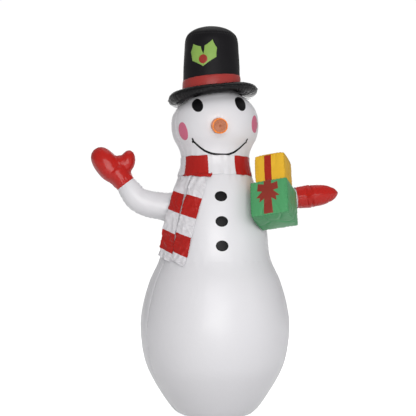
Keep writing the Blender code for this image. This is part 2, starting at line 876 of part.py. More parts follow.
# ---------------------------------------------------------------- valves
def valve(name, seat, scale, wall):
    """A flanged valve seat through the wall and a plug cap on a strap hinge.

    Local +Z points out of the wall and local +Y to the hinge. Sizes are of the
    largest valve and are scaled for the others.
    """

    def sized(points):
        return [(r * scale, z * scale) for r, z in points]

    lift = Matrix.Translation((0, 0, 0.0006))
    bore, neck, tube, flange = 0.016, 0.021, 0.019, 0.034
    seat_frame = seat @ lift
    ring = turned(
        name + "_valve_seat",
        sized(
            (
                (neck, 0.010),
                (neck, 0.0015),
                (flange, 0.0015),
                (flange, 0.0),
                (tube, 0.0),
                (tube, -0.014),
                (bore, -0.014),
                (bore, 0.010),
            )
        ),
        18,
        "valve_plastic",
        seat_frame,
        closed=True,
    )
    lug = block(
        name + "_valve_lug",
        [s * scale for s in (0.010, 0.0070, 0.0094)],
        seat_frame @ Matrix.Translation((0, 0.0300 * scale, 0.0048 * scale)),
    )
    add_boolean(ring, lug, "UNION")
    opening = cylinder(
        name + "_valve_opening",
        tube * scale + 0.0006,
        0.03 * scale,
        seat_frame,
        24,
    )
    add_boolean(wall, opening)

    cap = turned(
        name + "_valve_cap",
        sized(
            (
                (0.0, 0.0145),
                (0.0225, 0.0145),
                (0.0240, 0.0130),
                (0.0240, 0.0106),
                (0.0145, 0.0106),
                (0.0145, 0.0060),
                (0.0, 0.0060),
            )
        ),
        18,
        "valve_plastic",
        seat_frame,
    )
    tab = block(
        name + "_valve_tab",
        [s * scale for s in (0.012, 0.0120, 0.0018)],
        seat_frame @ Matrix.Translation((0, 0.0255 * scale, 0.0117 * scale)),
    )
    add_boolean(cap, tab, "UNION")
    hinge = pivot(
        name + "_valve_hinge",
        seat_frame @ Matrix.Translation((0, 0.0310 * scale, 0.0117 * scale)),
        [cap],
    )
    return seat_frame, [ring, hinge]


def body_valves(back):
    point, normal = skin_frame(math.pi, MAIN_VALVE_HEIGHT)
    frame, _ = valve("main", outward_frame(point, normal), MAIN_VALVE_SCALE, back)
    cylinder(
        "main_valve_flap",
        0.0182,
        0.0006,
        frame @ Matrix.Translation((0, 0, -0.0148)),
        24,
        "clear_pvc",
    )
    point, normal = skin_frame(math.pi, BALLAST_VALVE_HEIGHT)
    valve("ballast", outward_frame(point, normal), BALLAST_VALVE_SCALE, back)


# ---------------------------------------------------------------- tether points
def tethers():
    ring_radius, wire = 0.019, 0.0022
    for side, angle in TETHER_ANGLES:
        oval_print(side + "_tether_patch", angle, TETHER_HEIGHT, 0.042, 0.042, "white_pvc")
        point, normal = skin_frame(angle, TETHER_HEIGHT)
        frame = outward_frame(point, normal)
        out = SKIN_GAP + WALL + 0.0012
        loop = block(
            side + "_tether_loop",
            (0.012, 0.030, 0.0116),
            frame @ Matrix.Translation((0, 0.004, out + 0.0058)),
            "webbing",
            0.0015,
            1,
        )
        slot = block(
            side + "_tether_loop_slot",
            (0.030, 0.0078, 0.0072),
            frame @ Matrix.Translation((0, -0.0046, out + 0.0064)),
        )
        add_boolean(loop, slot)
        bpy.ops.mesh.primitive_torus_add(
            major_segments=18, minor_segments=6, major_radius=ring_radius, minor_radius=wire
        )
        shape = bpy.context.active_object
        shape.location.y = -ring_radius
        mesh = baked(shape, side + "_tether_ring")
        hook = frame @ Vector((0, -0.0042, out + 0.0064))
        level = Vector((math.sin(angle), -math.cos(angle), 0))
        hang = outward_frame(hook, level)
        ring = object_of(side + "_tether_ring", mesh, "steel", hang)
        pivot(side + "_tether_ring_hinge", hang, [ring])


def main():
    panels = body_panels()
    body(panels)
    face_and_buttons()
    scarf()
    hat()
    arms()
    body_valves(panels[2])
    tethers()


clear_scene()
PARTS = collection("inflatable_snowman")
CUTTERS = collection("cutters", hidden=True)
main()
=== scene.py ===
"""Looks of the inflatable yard snowman: air-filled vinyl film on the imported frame.

Metres, +Z up. The snowman faces -Y. Angles round the body are measured from the
front (-Y) towards +X. Displacements called relief are along the surface's normal.
"""

import math
from math import pi, radians

import bmesh
import bpy
import numpy as np
from mathutils import Matrix, Vector, noise


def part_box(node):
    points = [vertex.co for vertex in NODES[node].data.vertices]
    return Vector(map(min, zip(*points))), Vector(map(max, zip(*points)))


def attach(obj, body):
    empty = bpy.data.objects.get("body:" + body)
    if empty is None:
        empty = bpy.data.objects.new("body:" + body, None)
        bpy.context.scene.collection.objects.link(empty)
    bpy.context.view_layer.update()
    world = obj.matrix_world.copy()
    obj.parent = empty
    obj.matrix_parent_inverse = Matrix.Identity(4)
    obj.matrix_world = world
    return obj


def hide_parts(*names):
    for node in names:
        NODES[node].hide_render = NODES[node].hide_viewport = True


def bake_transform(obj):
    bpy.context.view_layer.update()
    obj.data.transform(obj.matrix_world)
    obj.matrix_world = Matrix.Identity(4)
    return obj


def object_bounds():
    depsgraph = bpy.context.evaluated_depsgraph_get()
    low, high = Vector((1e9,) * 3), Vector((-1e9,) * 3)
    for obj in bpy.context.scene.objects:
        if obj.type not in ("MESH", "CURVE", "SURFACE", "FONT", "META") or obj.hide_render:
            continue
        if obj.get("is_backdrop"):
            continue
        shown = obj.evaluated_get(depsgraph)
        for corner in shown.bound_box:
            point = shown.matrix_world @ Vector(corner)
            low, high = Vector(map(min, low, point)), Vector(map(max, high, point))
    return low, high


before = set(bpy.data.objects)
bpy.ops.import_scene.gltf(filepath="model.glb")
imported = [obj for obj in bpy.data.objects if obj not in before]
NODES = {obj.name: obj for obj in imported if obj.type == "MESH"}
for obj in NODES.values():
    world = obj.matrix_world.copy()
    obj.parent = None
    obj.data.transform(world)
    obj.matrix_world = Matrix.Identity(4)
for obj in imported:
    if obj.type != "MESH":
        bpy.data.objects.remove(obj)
cad_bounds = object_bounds()

# ---- the frame's dimensions
FOOT_HEIGHT = 0.0016
BODY_OUTLINE = (
    (0.19, FOOT_HEIGHT), (0.238, 0.016), (0.268, 0.042), (0.32, 0.114), (0.389, 0.227),
    (0.436, 0.34), (0.463, 0.528), (0.445, 0.679), (0.401, 0.83), (0.35, 0.938),
    (0.332, 1.02), (0.326, 1.11), (0.303, 1.24), (0.262, 1.385), (0.222, 1.485),
    (0.207, 1.56), (0.222, 1.635), (0.257, 1.697), (0.273, 1.775), (0.265, 1.85),
    (0.237, 1.9), (0.198, 1.931), (0.172, 1.959),
)
WAIST_WELD = 0.948
NECK_RADIUS = 0.222
NECK_FOLDS = (1.464, 1.59)
HEAD_RADIUS = 0.27
FRONT_HALF = radians(68)
SEAMS = [FRONT_HALF, pi - FRONT_HALF, pi + FRONT_HALF, -FRONT_HALF]

HAT_CENTRE = np.array((-0.022, 0.0, 1.964))
HAT_TILT = radians(6.8)
LEAN_FROM = 1.8
LEAN_BY = 1.92
CROWN_OUTLINE = (
    (0.0, 2.4), (0.056, 2.396), (0.108, 2.38), (0.148, 2.352), (0.165, 2.315),
    (0.17, 2.255), (0.1745, 2.165), (0.177, 2.06), (0.178, 1.9),
)
CROWN_WELD = 2.338
BRIM_RING = 0.23
BRIM_RISE = 0.01
BRIM_HALF_WIDTH = 0.05
BRIM_HALF_HEIGHT = 0.042
BRIM_FRONT_FLATTER = 0.3
BRIM_FRONT_RISE = 0.006
BRIM_TO_LEFT = 0.01
BRIM_TUBE = 0.046
BAND_TOP = 2.075
BAND_TILT = radians(5.2)
BAND_FOOT = 0.05
BAND_RADIUS = 0.177
HOLLY_RADIUS = 0.174

SLEEVE_R = (
    (-0.262, 0.0, 1.272, 0.0875), (-0.33, 0.0, 1.281, 0.0865),
    (-0.41, 0.0, 1.294, 0.083), (-0.48, 0.0, 1.325, 0.078),
    (-0.522, 0.0, 1.374, 0.072), (-0.553, 0.0, 1.416, 0.062),
)
SLEEVE_L = (
    (0.262, 0.0, 1.288, 0.08), (0.33, 0.0, 1.296, 0.078),
    (0.4, 0.002, 1.314, 0.073), (0.46, 0.004, 1.3275, 0.068),
    (0.512, 0.006, 1.3345, 0.062),
)
MITTEN_TILT_R = radians(127)
MITTEN_TILT_L = radians(7)

SCARF_FILM = 0.0009
COLLAR_FOOT = 1.474
COLLAR_TOP = 1.583
TAIL_TOP = 1.461
TAIL_INNER = (radians(-28), radians(-45), 0.106, 0.93, 0.0)
TAIL_OUTER = (radians(-51.8), radians(-64.2), 0.08, 0.952, 0.034)

GREEN_EDGE = 0.222
YELLOW_EDGE = 0.178
GREEN_CENTRE = Vector((0.324, -0.29, 1.286))
GIFT_TURN = (
    Matrix.Rotation(radians(-28), 4, "Z")
    @ Matrix.Rotation(radians(-22), 4, "X")
    @ Matrix.Rotation(radians(-9), 4, "Y")
)
# The main valve's and the ballast valve's.
VALVE_HEIGHTS = (0.528, 0.088)
VALVE_HOLES = (0.0225, 0.013)
GIFT_VALVE_HOLE = 0.0115
HAT_VALVE_HOLE = 0.0105
TETHER_ANGLES = (radians(-138), radians(138))
TETHER_HEIGHT = 1.06
NOSE_AT = (radians(-1.0), 1.752)
EYES_FACE = radians(-6)
SMILE_HEIGHT = 1.586
SMILE_RADIUS = 0.262

# ---- the camera's and the lights' values
CAMERA_AZIMUTH = radians(-6)
CAMERA_DISTANCE = 5.2
CAMERA_HEIGHT = 1.15
CAMERA_AIM = 1.27
CAMERA_ANGLE = radians(28)
CAMERA_SHIFT = -0.0168
FLOOR_REACH = 40.0
FLOOR_GLOW = 0.75
WORLD_FRONT = 0.42
WORLD_BACK = 1.02
WORLD_TURN = (0.8, 0.92)
LIGHT_AIM = 1.2
# Each light's name, place, width, watts and colour.
LIGHTS = (
    ("key", (-0.2, -4.8, 1.75), 3.0, 168, (1.0, 0.99, 0.98)),
    ("fill", (3.4, -3.0, 1.6), 2.4, 18, (0.97, 0.98, 1.0)),
    ("top", (0.3, 0.6, 5.2), 3.0, 25, (1.0, 1.0, 1.0)),
    ("back", (0.6, 4.9, 2.2), 3.0, 75, (1.0, 1.0, 1.0)),
)


# ---- curves and noise
def smooth_path(points, per_span):
    """Catmull-Rom points through the given ones."""
    known = [np.array(p, float) for p in points]
    known = [2 * known[0] - known[1], *known, 2 * known[-1] - known[-2]]
    path = []
    for i in range(1, len(known) - 2):
        a, b, c, d = known[i - 1 : i + 3]
        for step in range(per_span):
            t = step / per_span
            square = (2 * a - 5 * b + 4 * c - d) * t**2
            cube = (3 * b - a - 3 * c + d) * t**3
            path.append(0.5 * (2 * b + (c - a) * t + square + cube))
    path.append(known[-2])
    return np.array(path)


def lengths(path):
    """How far along a path each of its points is."""
    steps = np.linalg.norm(np.diff(path, axis=0), axis=1)
    return np.concatenate([[0], np.cumsum(steps)])


class Outline:
    """A turned shape's outline by arc length: radius, height and outward normal."""

    def __init__(self, points, soften, outward=1.0):
        path = smooth_path(points, 24)
        along = lengths(path)
        self.s = np.linspace(0, along[-1], 1201)
        r = np.interp(self.s, along, path[:, 0])
        z = np.interp(self.s, along, path[:, 1])
        width = max(1, int(soften / (self.s[1] - self.s[0])))
        reach = np.arange(-3 * width, 3 * width + 1)
        kernel = np.exp(-0.5 * (reach / width) ** 2)
        kernel /= kernel.sum()
        fade = np.clip(np.minimum(self.s, self.s[-1] - self.s) / (4 * soften), 0, 1)
        for line in (r, z):
            padded = np.pad(line, 3 * width, mode="edge")
            line += (np.convolve(padded, kernel, "valid") - line) * fade
        self.r, self.z = r, z
        dr, dz = np.gradient(r), np.gradient(z)
        size = np.hypot(dr, dz)
        self.nr, self.nz = outward * dz / size, -outward * dr / size

    def at(self, s):
        return [np.interp(s, self.s, line) for line in (self.r, self.z, self.nr, self.nz)]

    def s_of(self, height):
        if self.z[0] < self.z[-1]:
            return np.interp(height, self.z, self.s)
        return np.interp(height, self.z[::-1], self.s[::-1])


BODY = Outline(BODY_OUTLINE, 0.022)
CROWN = Outline(CROWN_OUTLINE, 0.01, -1.0)


def rough(points, scale, seed=0.0):
    """Smooth noise from about -1 to 1, with features of 1 / scale metres."""
    points = np.asarray(points, float)
    moved = (points.reshape(-1, 3) * scale + seed).tolist()
    values = np.array([noise.noise(p) for p in moved])
    return values.reshape(points.shape[:-1])


def rough_line(t, scale, seed=0.0):
    """Noise along one length."""
    t = np.asarray(t, float)
    zero = np.zeros_like(t)
    return rough(stacked(t, zero + seed * 1.7, zero), scale, seed)


def folds(t, pitch, seed=0.0):
    """Irregular wrinkles along a length t, from -1 to 1, about pitch apart."""
    t = np.asarray(t, float)
    bend = 2.6 * rough_line(t, 0.35 / pitch, seed + 3.1)
    size = 0.75 + 0.5 * rough_line(t, 0.22 / pitch, seed + 8.3)
    return size * np.sin(2 * pi * t / pitch + bend)


def pinch(t, pitch, seed=0.0):
    """Sharp creases along t: 0 between them and 1 in each."""
    return np.clip(1 - 1.6 * np.abs(folds(t, 2 * pitch, seed)), 0, 1) ** 1.5


def bell(distance, width):
    return np.exp(-((distance / width) ** 2))


def smoothstep(x):
    x = np.clip(x, 0.0, 1.0)
    return x * x * (3 - 2 * x)


def circle(count):
    """Evenly spaced angles, once round."""
    return np.linspace(-pi, pi, count, endpoint=False)


def stacked(*axes):
    return np.stack(np.broadcast_arrays(*axes), -1)


def around(radius, angle, height):
    """Points at an angle round a vertical axis."""
    return stacked(radius * np.sin(angle), -radius * np.cos(angle), height)


def wrapped(angle):
    return (angle + pi) % (2 * pi) - pi


def tilted(x, y, z):
    """Tilts points with the hat, whose centre they are measured from."""
    cos, sin = math.cos(HAT_TILT), math.sin(HAT_TILT)
    return HAT_CENTRE + stacked(x * cos - z * sin, y, x * sin + z * cos)


def lean(points):
    """Carries the top of the head over to the tilted hat."""
    x, y, z = points[..., 0], points[..., 1], points[..., 2] - HAT_CENTRE[2]
    share = smoothstep((points[..., 2] - LEAN_FROM) / (LEAN_BY - LEAN_FROM))[..., None]
    return points * (1 - share) + tilted(x, y, z) * share


# ---- meshes
def add_object(name, data):
    obj = bpy.data.objects.new(name, data)
    bpy.context.scene.collection.objects.link(obj)
    return obj


def new_object(name, points, faces):
    mesh = bpy.data.meshes.new(name)
    mesh.from_pydata(np.asarray(points).reshape(-1, 3).tolist(), [], faces)
    mesh.validate()
    mesh.shade_smooth()
    return add_object(name, mesh)


def grid_faces(rows, cols, closed=False, flip=False, tube=False):
    index = np.arange(rows * cols).reshape(rows, cols)
    if closed:
        index = np.hstack([index, index[:, :1]])
    if tube:
        index = np.vstack([index, index[:1]])
    quads = stacked(index[:-1, :-1], index[:-1, 1:], index[1:, 1:], index[1:, :-1])
    quads = quads.reshape(-1, 4)
    return (quads[:, ::-1] if flip else quads).tolist()


def grid(name, points, closed=False, flip=False, tube=False):
    """A sheet of rows and columns of points. closed joins its sides, tube its ends."""
    rows, cols = points.shape[:2]
    return new_object(name, points, grid_faces(rows, cols, closed, flip, tube))


def capped(name, points, flip=False, both=False):
    """A closed sheet of rings, its last ring (or both end rings) filled by a fan."""
    rows, cols = points.shape[:2]
    faces = grid_faces(rows, cols, True, flip)
    count = rows * cols
    middles = [points[-1].mean(axis=0)]
    for ring, centre in (((rows - 1) * cols, count), (0, count + 1))[: 2 if both else 1]:
        turned = flip != (ring == 0)
        for i in range(cols):
            a, b = ring + i, ring + (i + 1) % cols
            faces.append([b, a, centre] if turned else [a, b, centre])
    if both:
        middles.append(points[0].mean(axis=0))
    return new_object(name, np.vstack([points.reshape(-1, 3), *middles]), faces)


def patch(name, outline, place, rings=10, centre=(0.0, 0.0)):
    """A flat shape that is star-shaped about its centre, laid on a surface.

    outline is its edge, anticlockwise in a plane. place(x, y, share) puts points of
    the plane in space, where share is 1 at the edge and 0 at the centre.
    """
    outline = np.asarray(outline, float)
    centre = np.asarray(centre, float)
    shares = np.linspace(1, 0.06, rings)[:, None]
    x = centre[0] + shares * (outline[:, 0] - centre[0])
    y = centre[1] + shares * (outline[:, 1] - centre[1])
    return capped(name, place(x, y, shares + 0 * x))


def film_edge(share):
    """The share of a print's lift: it drops towards the skin at the print's edge."""
    return np.clip((1 - share) * 8 + 0.25, 0, 1)


def oval(half_width, half_height, slant=0.0, count=72):
    turn = np.linspace(0, 2 * pi, count, endpoint=False)
    x, y = half_width * np.cos(turn), half_height * np.sin(turn)
    cos, sin = math.cos(slant), math.sin(slant)
    return stacked(x * cos - y * sin, x * sin + y * cos)


def thicken(obj, thickness, offset=1.0):
    wall = obj.modifiers.new("film", "SOLIDIFY")
    wall.thickness = thickness
    wall.offset = offset


def pierce(obj, centre, axis, radius):
    """Removes the faces within radius of a line through centre, near it."""
    mesh = obj.data
    bm = bmesh.new()
    bm.from_mesh(mesh)
    centre, axis = Vector(centre), Vector(axis).normalized()
    gone = []
    for face in bm.faces:
        away = face.calc_center_median() - centre
        along = away.dot(axis)
        if abs(along) < 0.03 and (away - axis * along).length < radius:
            gone.append(face)
    bmesh.ops.delete(bm, geom=gone, context="FACES")
    bm.to_mesh(mesh)
    bm.free()


def finish_piece(obj, body, replaced, slot, *materials):
    """Gives a piece its materials and its body, and hides the CAD nodes that it stands for."""
    for made in materials:
        obj.data.materials.append(made)
    if body:
        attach(obj, body)
    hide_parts(*replaced)


# ---- materials
SOCKETS = {
    "specular": "Specular IOR Level",
    "coat": "Coat Weight",
    "coat_roughness": "Coat Roughness",
    "metallic": "Metallic",
}
# Each bump's scale, depth, detail and, where it isn't even, its stretch.
GRAIN = (900, 0.0001, 2)
WAVES = (30, 0.001, 3)
BOX_WAVES = (24, 0.0016, 4)
PRINT_BUMPS = ((900, 0.00012, 2), (38, 0.0011, 3))


def set_inputs(node, **values):
    """Sets sockets by their names, written with _ for each space."""
    for socket, value in values.items():
        node.inputs[socket.replace("_", " ")].default_value = value


def new_node(tree, kind, **values):
    node = tree.nodes.new("ShaderNode" + kind)
    set_inputs(node, **values)
    return node


def material(name, colour, other, roughness, **more):
    """A procedural film: fine grain, soft waviness, and uneven colour and gloss."""
    made = bpy.data.materials.new(name)
    made.use_nodes = True
    tree, links = made.node_tree, made.node_tree.links
    shader = tree.nodes["Principled BSDF"]
    for key in SOCKETS.keys() & more.keys():
        shader.inputs[SOCKETS[key]].default_value = more[key]
    place = new_node(tree, "TexCoord").outputs["Object"]

    def noise_at(scale, detail, stretch=(1, 1, 1)):
        mapping = new_node(tree, "Mapping", Scale=stretch)
        links.new(place, mapping.inputs["Vector"])
        texture = new_node(tree, "TexNoise", Scale=scale, Detail=detail)
        links.new(mapping.outputs["Vector"], texture.inputs["Vector"])
        return texture.outputs["Fac"]

    def ranged(value, low, high):
        ends = {"From_Min": 0.3, "From_Max": 0.7, "To_Min": low, "To_Max": high}
        change = new_node(tree, "MapRange", **ends)
        links.new(value, change.inputs["Value"])
        return change.outputs["Result"]

    tint = new_node(tree, "Mix")
    tint.data_type = "RGBA"
    other = other or [c * 0.86 for c in colour]
    set_inputs(tint, A=(*colour, 1), B=(*other, 1))
    patches = ranged(noise_at(more.get("patches", 2.2), 4), 0, 0.35)
    links.new(patches, tint.inputs["Factor"])
    links.new(tint.outputs["Result"], shader.inputs["Base Color"])

    spread = more.get("gloss_spread", 0.07)
    gloss = ranged(noise_at(9, 3), roughness - spread, roughness + spread)
    links.new(gloss, shader.inputs["Roughness"])

    height = None
    for scale, depth, detail, *stretch in more.get("bumps", PRINT_BUMPS):
        bump = new_node(tree, "Bump", Strength=1.0, Distance=depth)
        links.new(noise_at(scale, detail, *stretch), bump.inputs["Height"])
        if height:
            links.new(height, bump.inputs["Normal"])
        height = bump.outputs["Normal"]
    links.new(height, shader.inputs["Normal"])
    return made


WHITE = material(
    "white_vinyl", (0.66, 0.655, 0.68), (0.61, 0.608, 0.64), 0.4,
    specular=0.42, coat=0.06, coat_roughness=0.24, bumps=(GRAIN, WAVES),
)
BLACK = material(
    "black_vinyl", (0.0048, 0.0044, 0.0055), (0.0085, 0.0075, 0.0095), 0.5,
    specular=0.13, bumps=(GRAIN, WAVES),
)
BRIM_BLACK = material(
    "black_vinyl_creased", (0.0038, 0.0036, 0.0043), (0.006, 0.0052, 0.007), 0.3,
    specular=0.08, coat=0.12, coat_roughness=0.05, bumps=(GRAIN, (26, 0.001, 3)),
)
MITTEN_RED = material(
    "red_vinyl", (0.45, 0.014, 0.01), (0.37, 0.009, 0.007), 0.32,
    specular=0.1, coat=0.24, coat_roughness=0.07, bumps=(GRAIN, (26, 0.0012, 3)),
)
BAND_RED = material(
    "band_vinyl", (0.345, 0.034, 0.03), (0.27, 0.022, 0.019), 0.38,
    specular=0.22, coat=0.08, coat_roughness=0.25,
)
PRINT_BLACK = material(
    "printed_black", (0.004, 0.0038, 0.0046), (0.0075, 0.007, 0.0085), 0.42, specular=0.12
)
PRINT_PINK = material(
    "printed_pink", (0.56, 0.135, 0.222), (0.5, 0.115, 0.195), 0.42,
    patches=14, specular=0.25,
)
ORANGE = material(
    "orange_vinyl", (0.94, 0.24, 0.012), (0.84, 0.19, 0.008), 0.34,
    specular=0.22, coat=0.08, coat_roughness=0.2,
)
# Painted reflection: the nose's end disc gets a duller, browner orange that stands for the light
# reflected off the end facing the camera.
NOSE_END_PAINTED_REFLECTION = material(
    "orange_vinyl_painted_reflection", (0.41, 0.135, 0.058), (0.3, 0.088, 0.038), 0.38, patches=26,
    specular=0.25, coat=0.08, coat_roughness=0.2, bumps=(GRAIN, (90, 0.0012, 4)),
)
GREEN = material(
    "green_vinyl", (0.07, 0.295, 0.118), (0.052, 0.24, 0.092), 0.4,
    specular=0.2, coat=0.05, coat_roughness=0.25, bumps=(GRAIN, BOX_WAVES),
)
YELLOW = material(
    "yellow_vinyl", (0.7, 0.42, 0.036), (0.62, 0.32, 0.018), 0.46,
    patches=7, specular=0.07, bumps=(GRAIN, BOX_WAVES),
)
BOW_RED = material(
    "bow_print", (0.235, 0.028, 0.018), (0.185, 0.019, 0.012), 0.36,
    patches=12, specular=0.25,
)
RIBBON_RED = material(
    "ribbon_print", (0.35, 0.018, 0.009), (0.28, 0.012, 0.007), 0.36,
    patches=12, specular=0.2,
)
LEAF = material(
    "leaf_print", (0.235, 0.385, 0.08), (0.165, 0.31, 0.055), 0.4,
    patches=26, specular=0.25,
)
BERRY = material(
    "berry_print", (0.29, 0.03, 0.02), (0.22, 0.02, 0.014), 0.34,
    patches=30, specular=0.25,
)
SCARF_WHITE = material(
    "scarf_white", (0.64, 0.628, 0.655), (0.57, 0.56, 0.595), 0.42,
    specular=0.3, bumps=(GRAIN, (70, 0.0022, 5, (1.4, 1.4, 0.6))),
)
SCARF_RED = material(
    "scarf_red", (0.385, 0.01, 0.007), (0.3, 0.007, 0.005), 0.44,
    specular=0.2, bumps=(GRAIN, (70, 0.0016, 5, (1.4, 1.4, 0.6))),
)
VALVE = material(
    "valve_vinyl", (0.7, 0.72, 0.75), None, 0.34,
    coat=0.2, coat_roughness=0.2, bumps=(GRAIN, (300, 0.0003, 2)),
)
CLEAR = material("flap_vinyl", (0.62, 0.66, 0.7), None, 0.22)
WATER = material("ballast_water", (0.4, 0.58, 0.68), None, 0.1, gloss_spread=0.02)
WEBBING = material(
    "woven_webbing", (0.018, 0.018, 0.02), (0.035, 0.035, 0.038), 0.82,
    patches=300, bumps=((700, 0.0006, 1, (1, 1, 6)), (60, 0.0004, 2)),
)
STEEL = material(
    "plated_steel", (0.58, 0.58, 0.6), None, 0.26,
    patches=60, metallic=1.0, bumps=((1200, 0.00005, 2),),
)
for made, names in (
    (VALVE, [n for n in NODES if n.endswith(("_valve_seat", "_valve_cap"))]),
    (CLEAR, ["main_valve_flap"]),
    (WATER, ["water_ballast"]),
    (WHITE, ["base_panel", "ballast_diaphragm"]),
    (WEBBING, ["right_tether_loop", "left_tether_loop"]),
    (STEEL, ["right_tether_ring", "left_tether_ring"]),
    (GREEN, ["gift_tab"]),
):
    for node in names:
        NODES[node].data.materials.clear()
        NODES[node].data.materials.append(made)


# ---- body
class Sleeve:
    """A tube along a path in the XZ plane, welded at its top and bottom lines."""

    def __init__(self, centreline):
        self.path = smooth_path(centreline, 40)
        self.along = lengths(self.path[:, :3])
        self.length = self.along[-1]

    def sample(self, s):
        return stacked(*[np.interp(s, self.along, self.path[:, i]) for i in range(4)])

    def at(self, s):
        """The centre, the radius and the direction, past the ends too."""
        s = np.asarray(s, float)
        step = 0.004
        inner = np.clip(s, step, self.length - step)
        tangent = (self.sample(inner + step) - self.sample(inner - step))[..., :3]
        tangent /= np.linalg.norm(tangent, axis=-1, keepdims=True)
        here = self.sample(s)
        over = s - np.clip(s, 0, self.length)
        return here[..., :3] + tangent * over[..., None], here[..., 3], tangent

    def point(self, s, turn, lift=0.0):
        """turn is 0 on the upper line and a quarter turn on the front line."""
        centre, radius, tangent = self.at(s)
        front = np.zeros_like(tangent)
        front[..., 1] = -1.0
        upper = np.cross(tangent, front)
        upper *= np.sign(upper[..., 2:3])
        out = upper * np.cos(turn)[..., None] + front * np.sin(turn)[..., None]
        return centre + out * (radius + lift)[..., None]


ARM_R = Sleeve(SLEEVE_R)
ARM_L = Sleeve(SLEEVE_L)


def shoulder_relief(points, arm):
    """The skin is drawn in at the weld of an arm, with creases that radiate from it."""
    centre, radius, tangent = [v[0] for v in arm.at(np.array([0.03]))]
    away = points - centre
    along = away @ tangent
    flat = away - along[..., None] * tangent
    distance = np.linalg.norm(flat, axis=-1)
    edge = distance - radius
    turn = np.arctan2(flat[..., 1], flat[..., 2])
    close = np.where(np.abs(along) < 0.14, 1.0, 0.0)
    drawn = -0.0045 * bell(edge, 0.012) - 0.003 * bell(edge, 0.04)
    creases = 0.0022 * folds(turn * 0.09, 0.034, centre[0] * 9) * bell(edge - 0.012, 0.03)
    return close * (drawn + creases)


def skin_relief(angle, height, radius):
    points = around(radius, angle, height)
    total = 0.0016 * rough(points, 3.0) + 0.0006 * rough(points, 9.0, 7.0)
    for i, seam in enumerate(SEAMS):
        away = radius * wrapped(angle - seam)
        total -= 0.0026 * bell(away, 0.0035) + 0.0022 * bell(away, 0.02)
        total += 0.001 * folds(height, 0.027, 5.0 * i) * bell(away, 0.026)
    total += 0.0013 * folds(radius * angle, 0.03, 2.0) * bell(height - FOOT_HEIGHT, 0.05)
    waist = height - WAIST_WELD
    total -= 0.0009 * bell(waist, 0.004)
    total += 0.0006 * folds(radius * angle, 0.06, 4.0) * bell(waist, 0.025)
    neck = bell(height - NECK_FOLDS[0], 0.036) + bell(height - NECK_FOLDS[1], 0.035)
    total += 0.0012 * folds(radius * angle, 0.045, 6.0) * neck
    for arm in (ARM_R, ARM_L):
        total += shoulder_relief(points, arm)
    aside, above = HEAD_RADIUS * wrapped(angle - NOSE_AT[0]), height - NOSE_AT[1]
    nose, nose_turn = np.hypot(aside, above), np.arctan2(aside, above)
    total -= 0.0022 * bell(nose - 0.052, 0.007)
    total += 0.0012 * folds(nose_turn * 0.055, 0.02, 1.5) * bell(nose - 0.058, 0.012)
    back = radius * wrapped(angle - pi)
    for valve_height, reach in zip(VALVE_HEIGHTS, (0.06, 0.04)):
        total *= 1 - bell(np.hypot(back, height - valve_height), reach)
    return total


def skin(angle, height, lift=0.0):
    """Points on the film at an angle and a height, lifted off it."""
    angle, height, lift = np.broadcast_arrays(
        np.asarray(angle, float), np.asarray(height, float), np.asarray(lift, float)
    )
    return skin_by_length(angle, BODY.s_of(height), lift)


def skin_by_length(angle, s, lift=0.0):
    r, z, nr, nz = BODY.at(s)
    push = skin_relief(angle, z, r) + lift
    r, z = r + nr * push, z + nz * push
    return lean(around(r, angle, z))


def body_panels():
    rows = 300
    s = np.linspace(0, BODY.s[-1], rows)[:, None]
    side_half = pi / 2 - FRONT_HALF
    for quarter, name in enumerate(("front", "left_side", "back", "right_side")):
        half, columns = (side_half, 72) if quarter % 2 else (FRONT_HALF, 190)
        middle = radians(90 * quarter)
        angle = np.linspace(middle - half, middle + half, columns)[None, :]
        angle, height = np.broadcast_arrays(angle, s)
        panel = grid(name + "_gore", skin_by_length(angle, height))
        if name == "back":
            for valve_height, hole in zip(VALVE_HEIGHTS, VALVE_HOLES):
                r, z, nr, nz = BODY.at(BODY.s_of(valve_height))
                pierce(panel, (0, r, z), (0, nr, nz), hole)
        finish_piece(panel, "snowman", [name + "_panel"], "white_pvc", WHITE)


# ---- prints on the skin
def on_skin(angle, height, x, y, lift):
    """Lays a flat drawing on the film, x to the right and y up from one point."""
    s = BODY.s_of(height) + y
    return skin_by_length(angle + x / BODY.at(s)[0], s, lift)


def facing_skin(angle, height, x, y, lift, facing):
    """Lays a drawing on the film so that it looks undistorted from one side."""
    aside = BODY.at(BODY.s_of(height))[0] * math.sin(angle - facing) + x
    turn = np.arcsin(aside / BODY.at(BODY.s_of(height + y))[0])
    return skin(facing + turn, height + y, lift)


def skin_patch(name, node, outline, angle, height, lift, finish, slot, dome=0.0, facing=None):
    def place(x, y, share):
        raised = lift * film_edge(share) + dome * (1 - share**2)
        if facing is None:
            return on_skin(angle, height, x, y, raised)
        return facing_skin(angle, height, x, y, raised, facing)

    obj = patch(name, outline, place)
    finish_piece(obj, "snowman", [node], slot, finish)


def strokes(name, paths, width, place):
    """Lines of one width with round ends, laid on a surface by place(x, y)."""
    points, faces = [], []
    for path in paths:
        path = smooth_path(path, 24)
        tangent = np.gradient(path, axis=0)
        tangent /= np.linalg.norm(tangent, axis=1, keepdims=True)
        side = stacked(-tangent[:, 1], tangent[:, 0])
        along = lengths(path)
        end = np.minimum(along, along[-1] - along)
        half = width / 2 * np.sqrt(1 - np.clip(1 - end / (width / 2), 0, 0.98) ** 2)
        across = np.linspace(-1, 1, 5)
        flat = path[:, None] - side[:, None] * (half[:, None] * across[None])[..., None]
        start = sum(len(p) for p in points)
        laid = place(flat[..., 0], flat[..., 1]).reshape(-1, 3)
        faces += [[i + start for i in face] for face in grid_faces(len(path), 5)]
        points.append(laid)
    return new_object(name, np.vstack(points), faces)


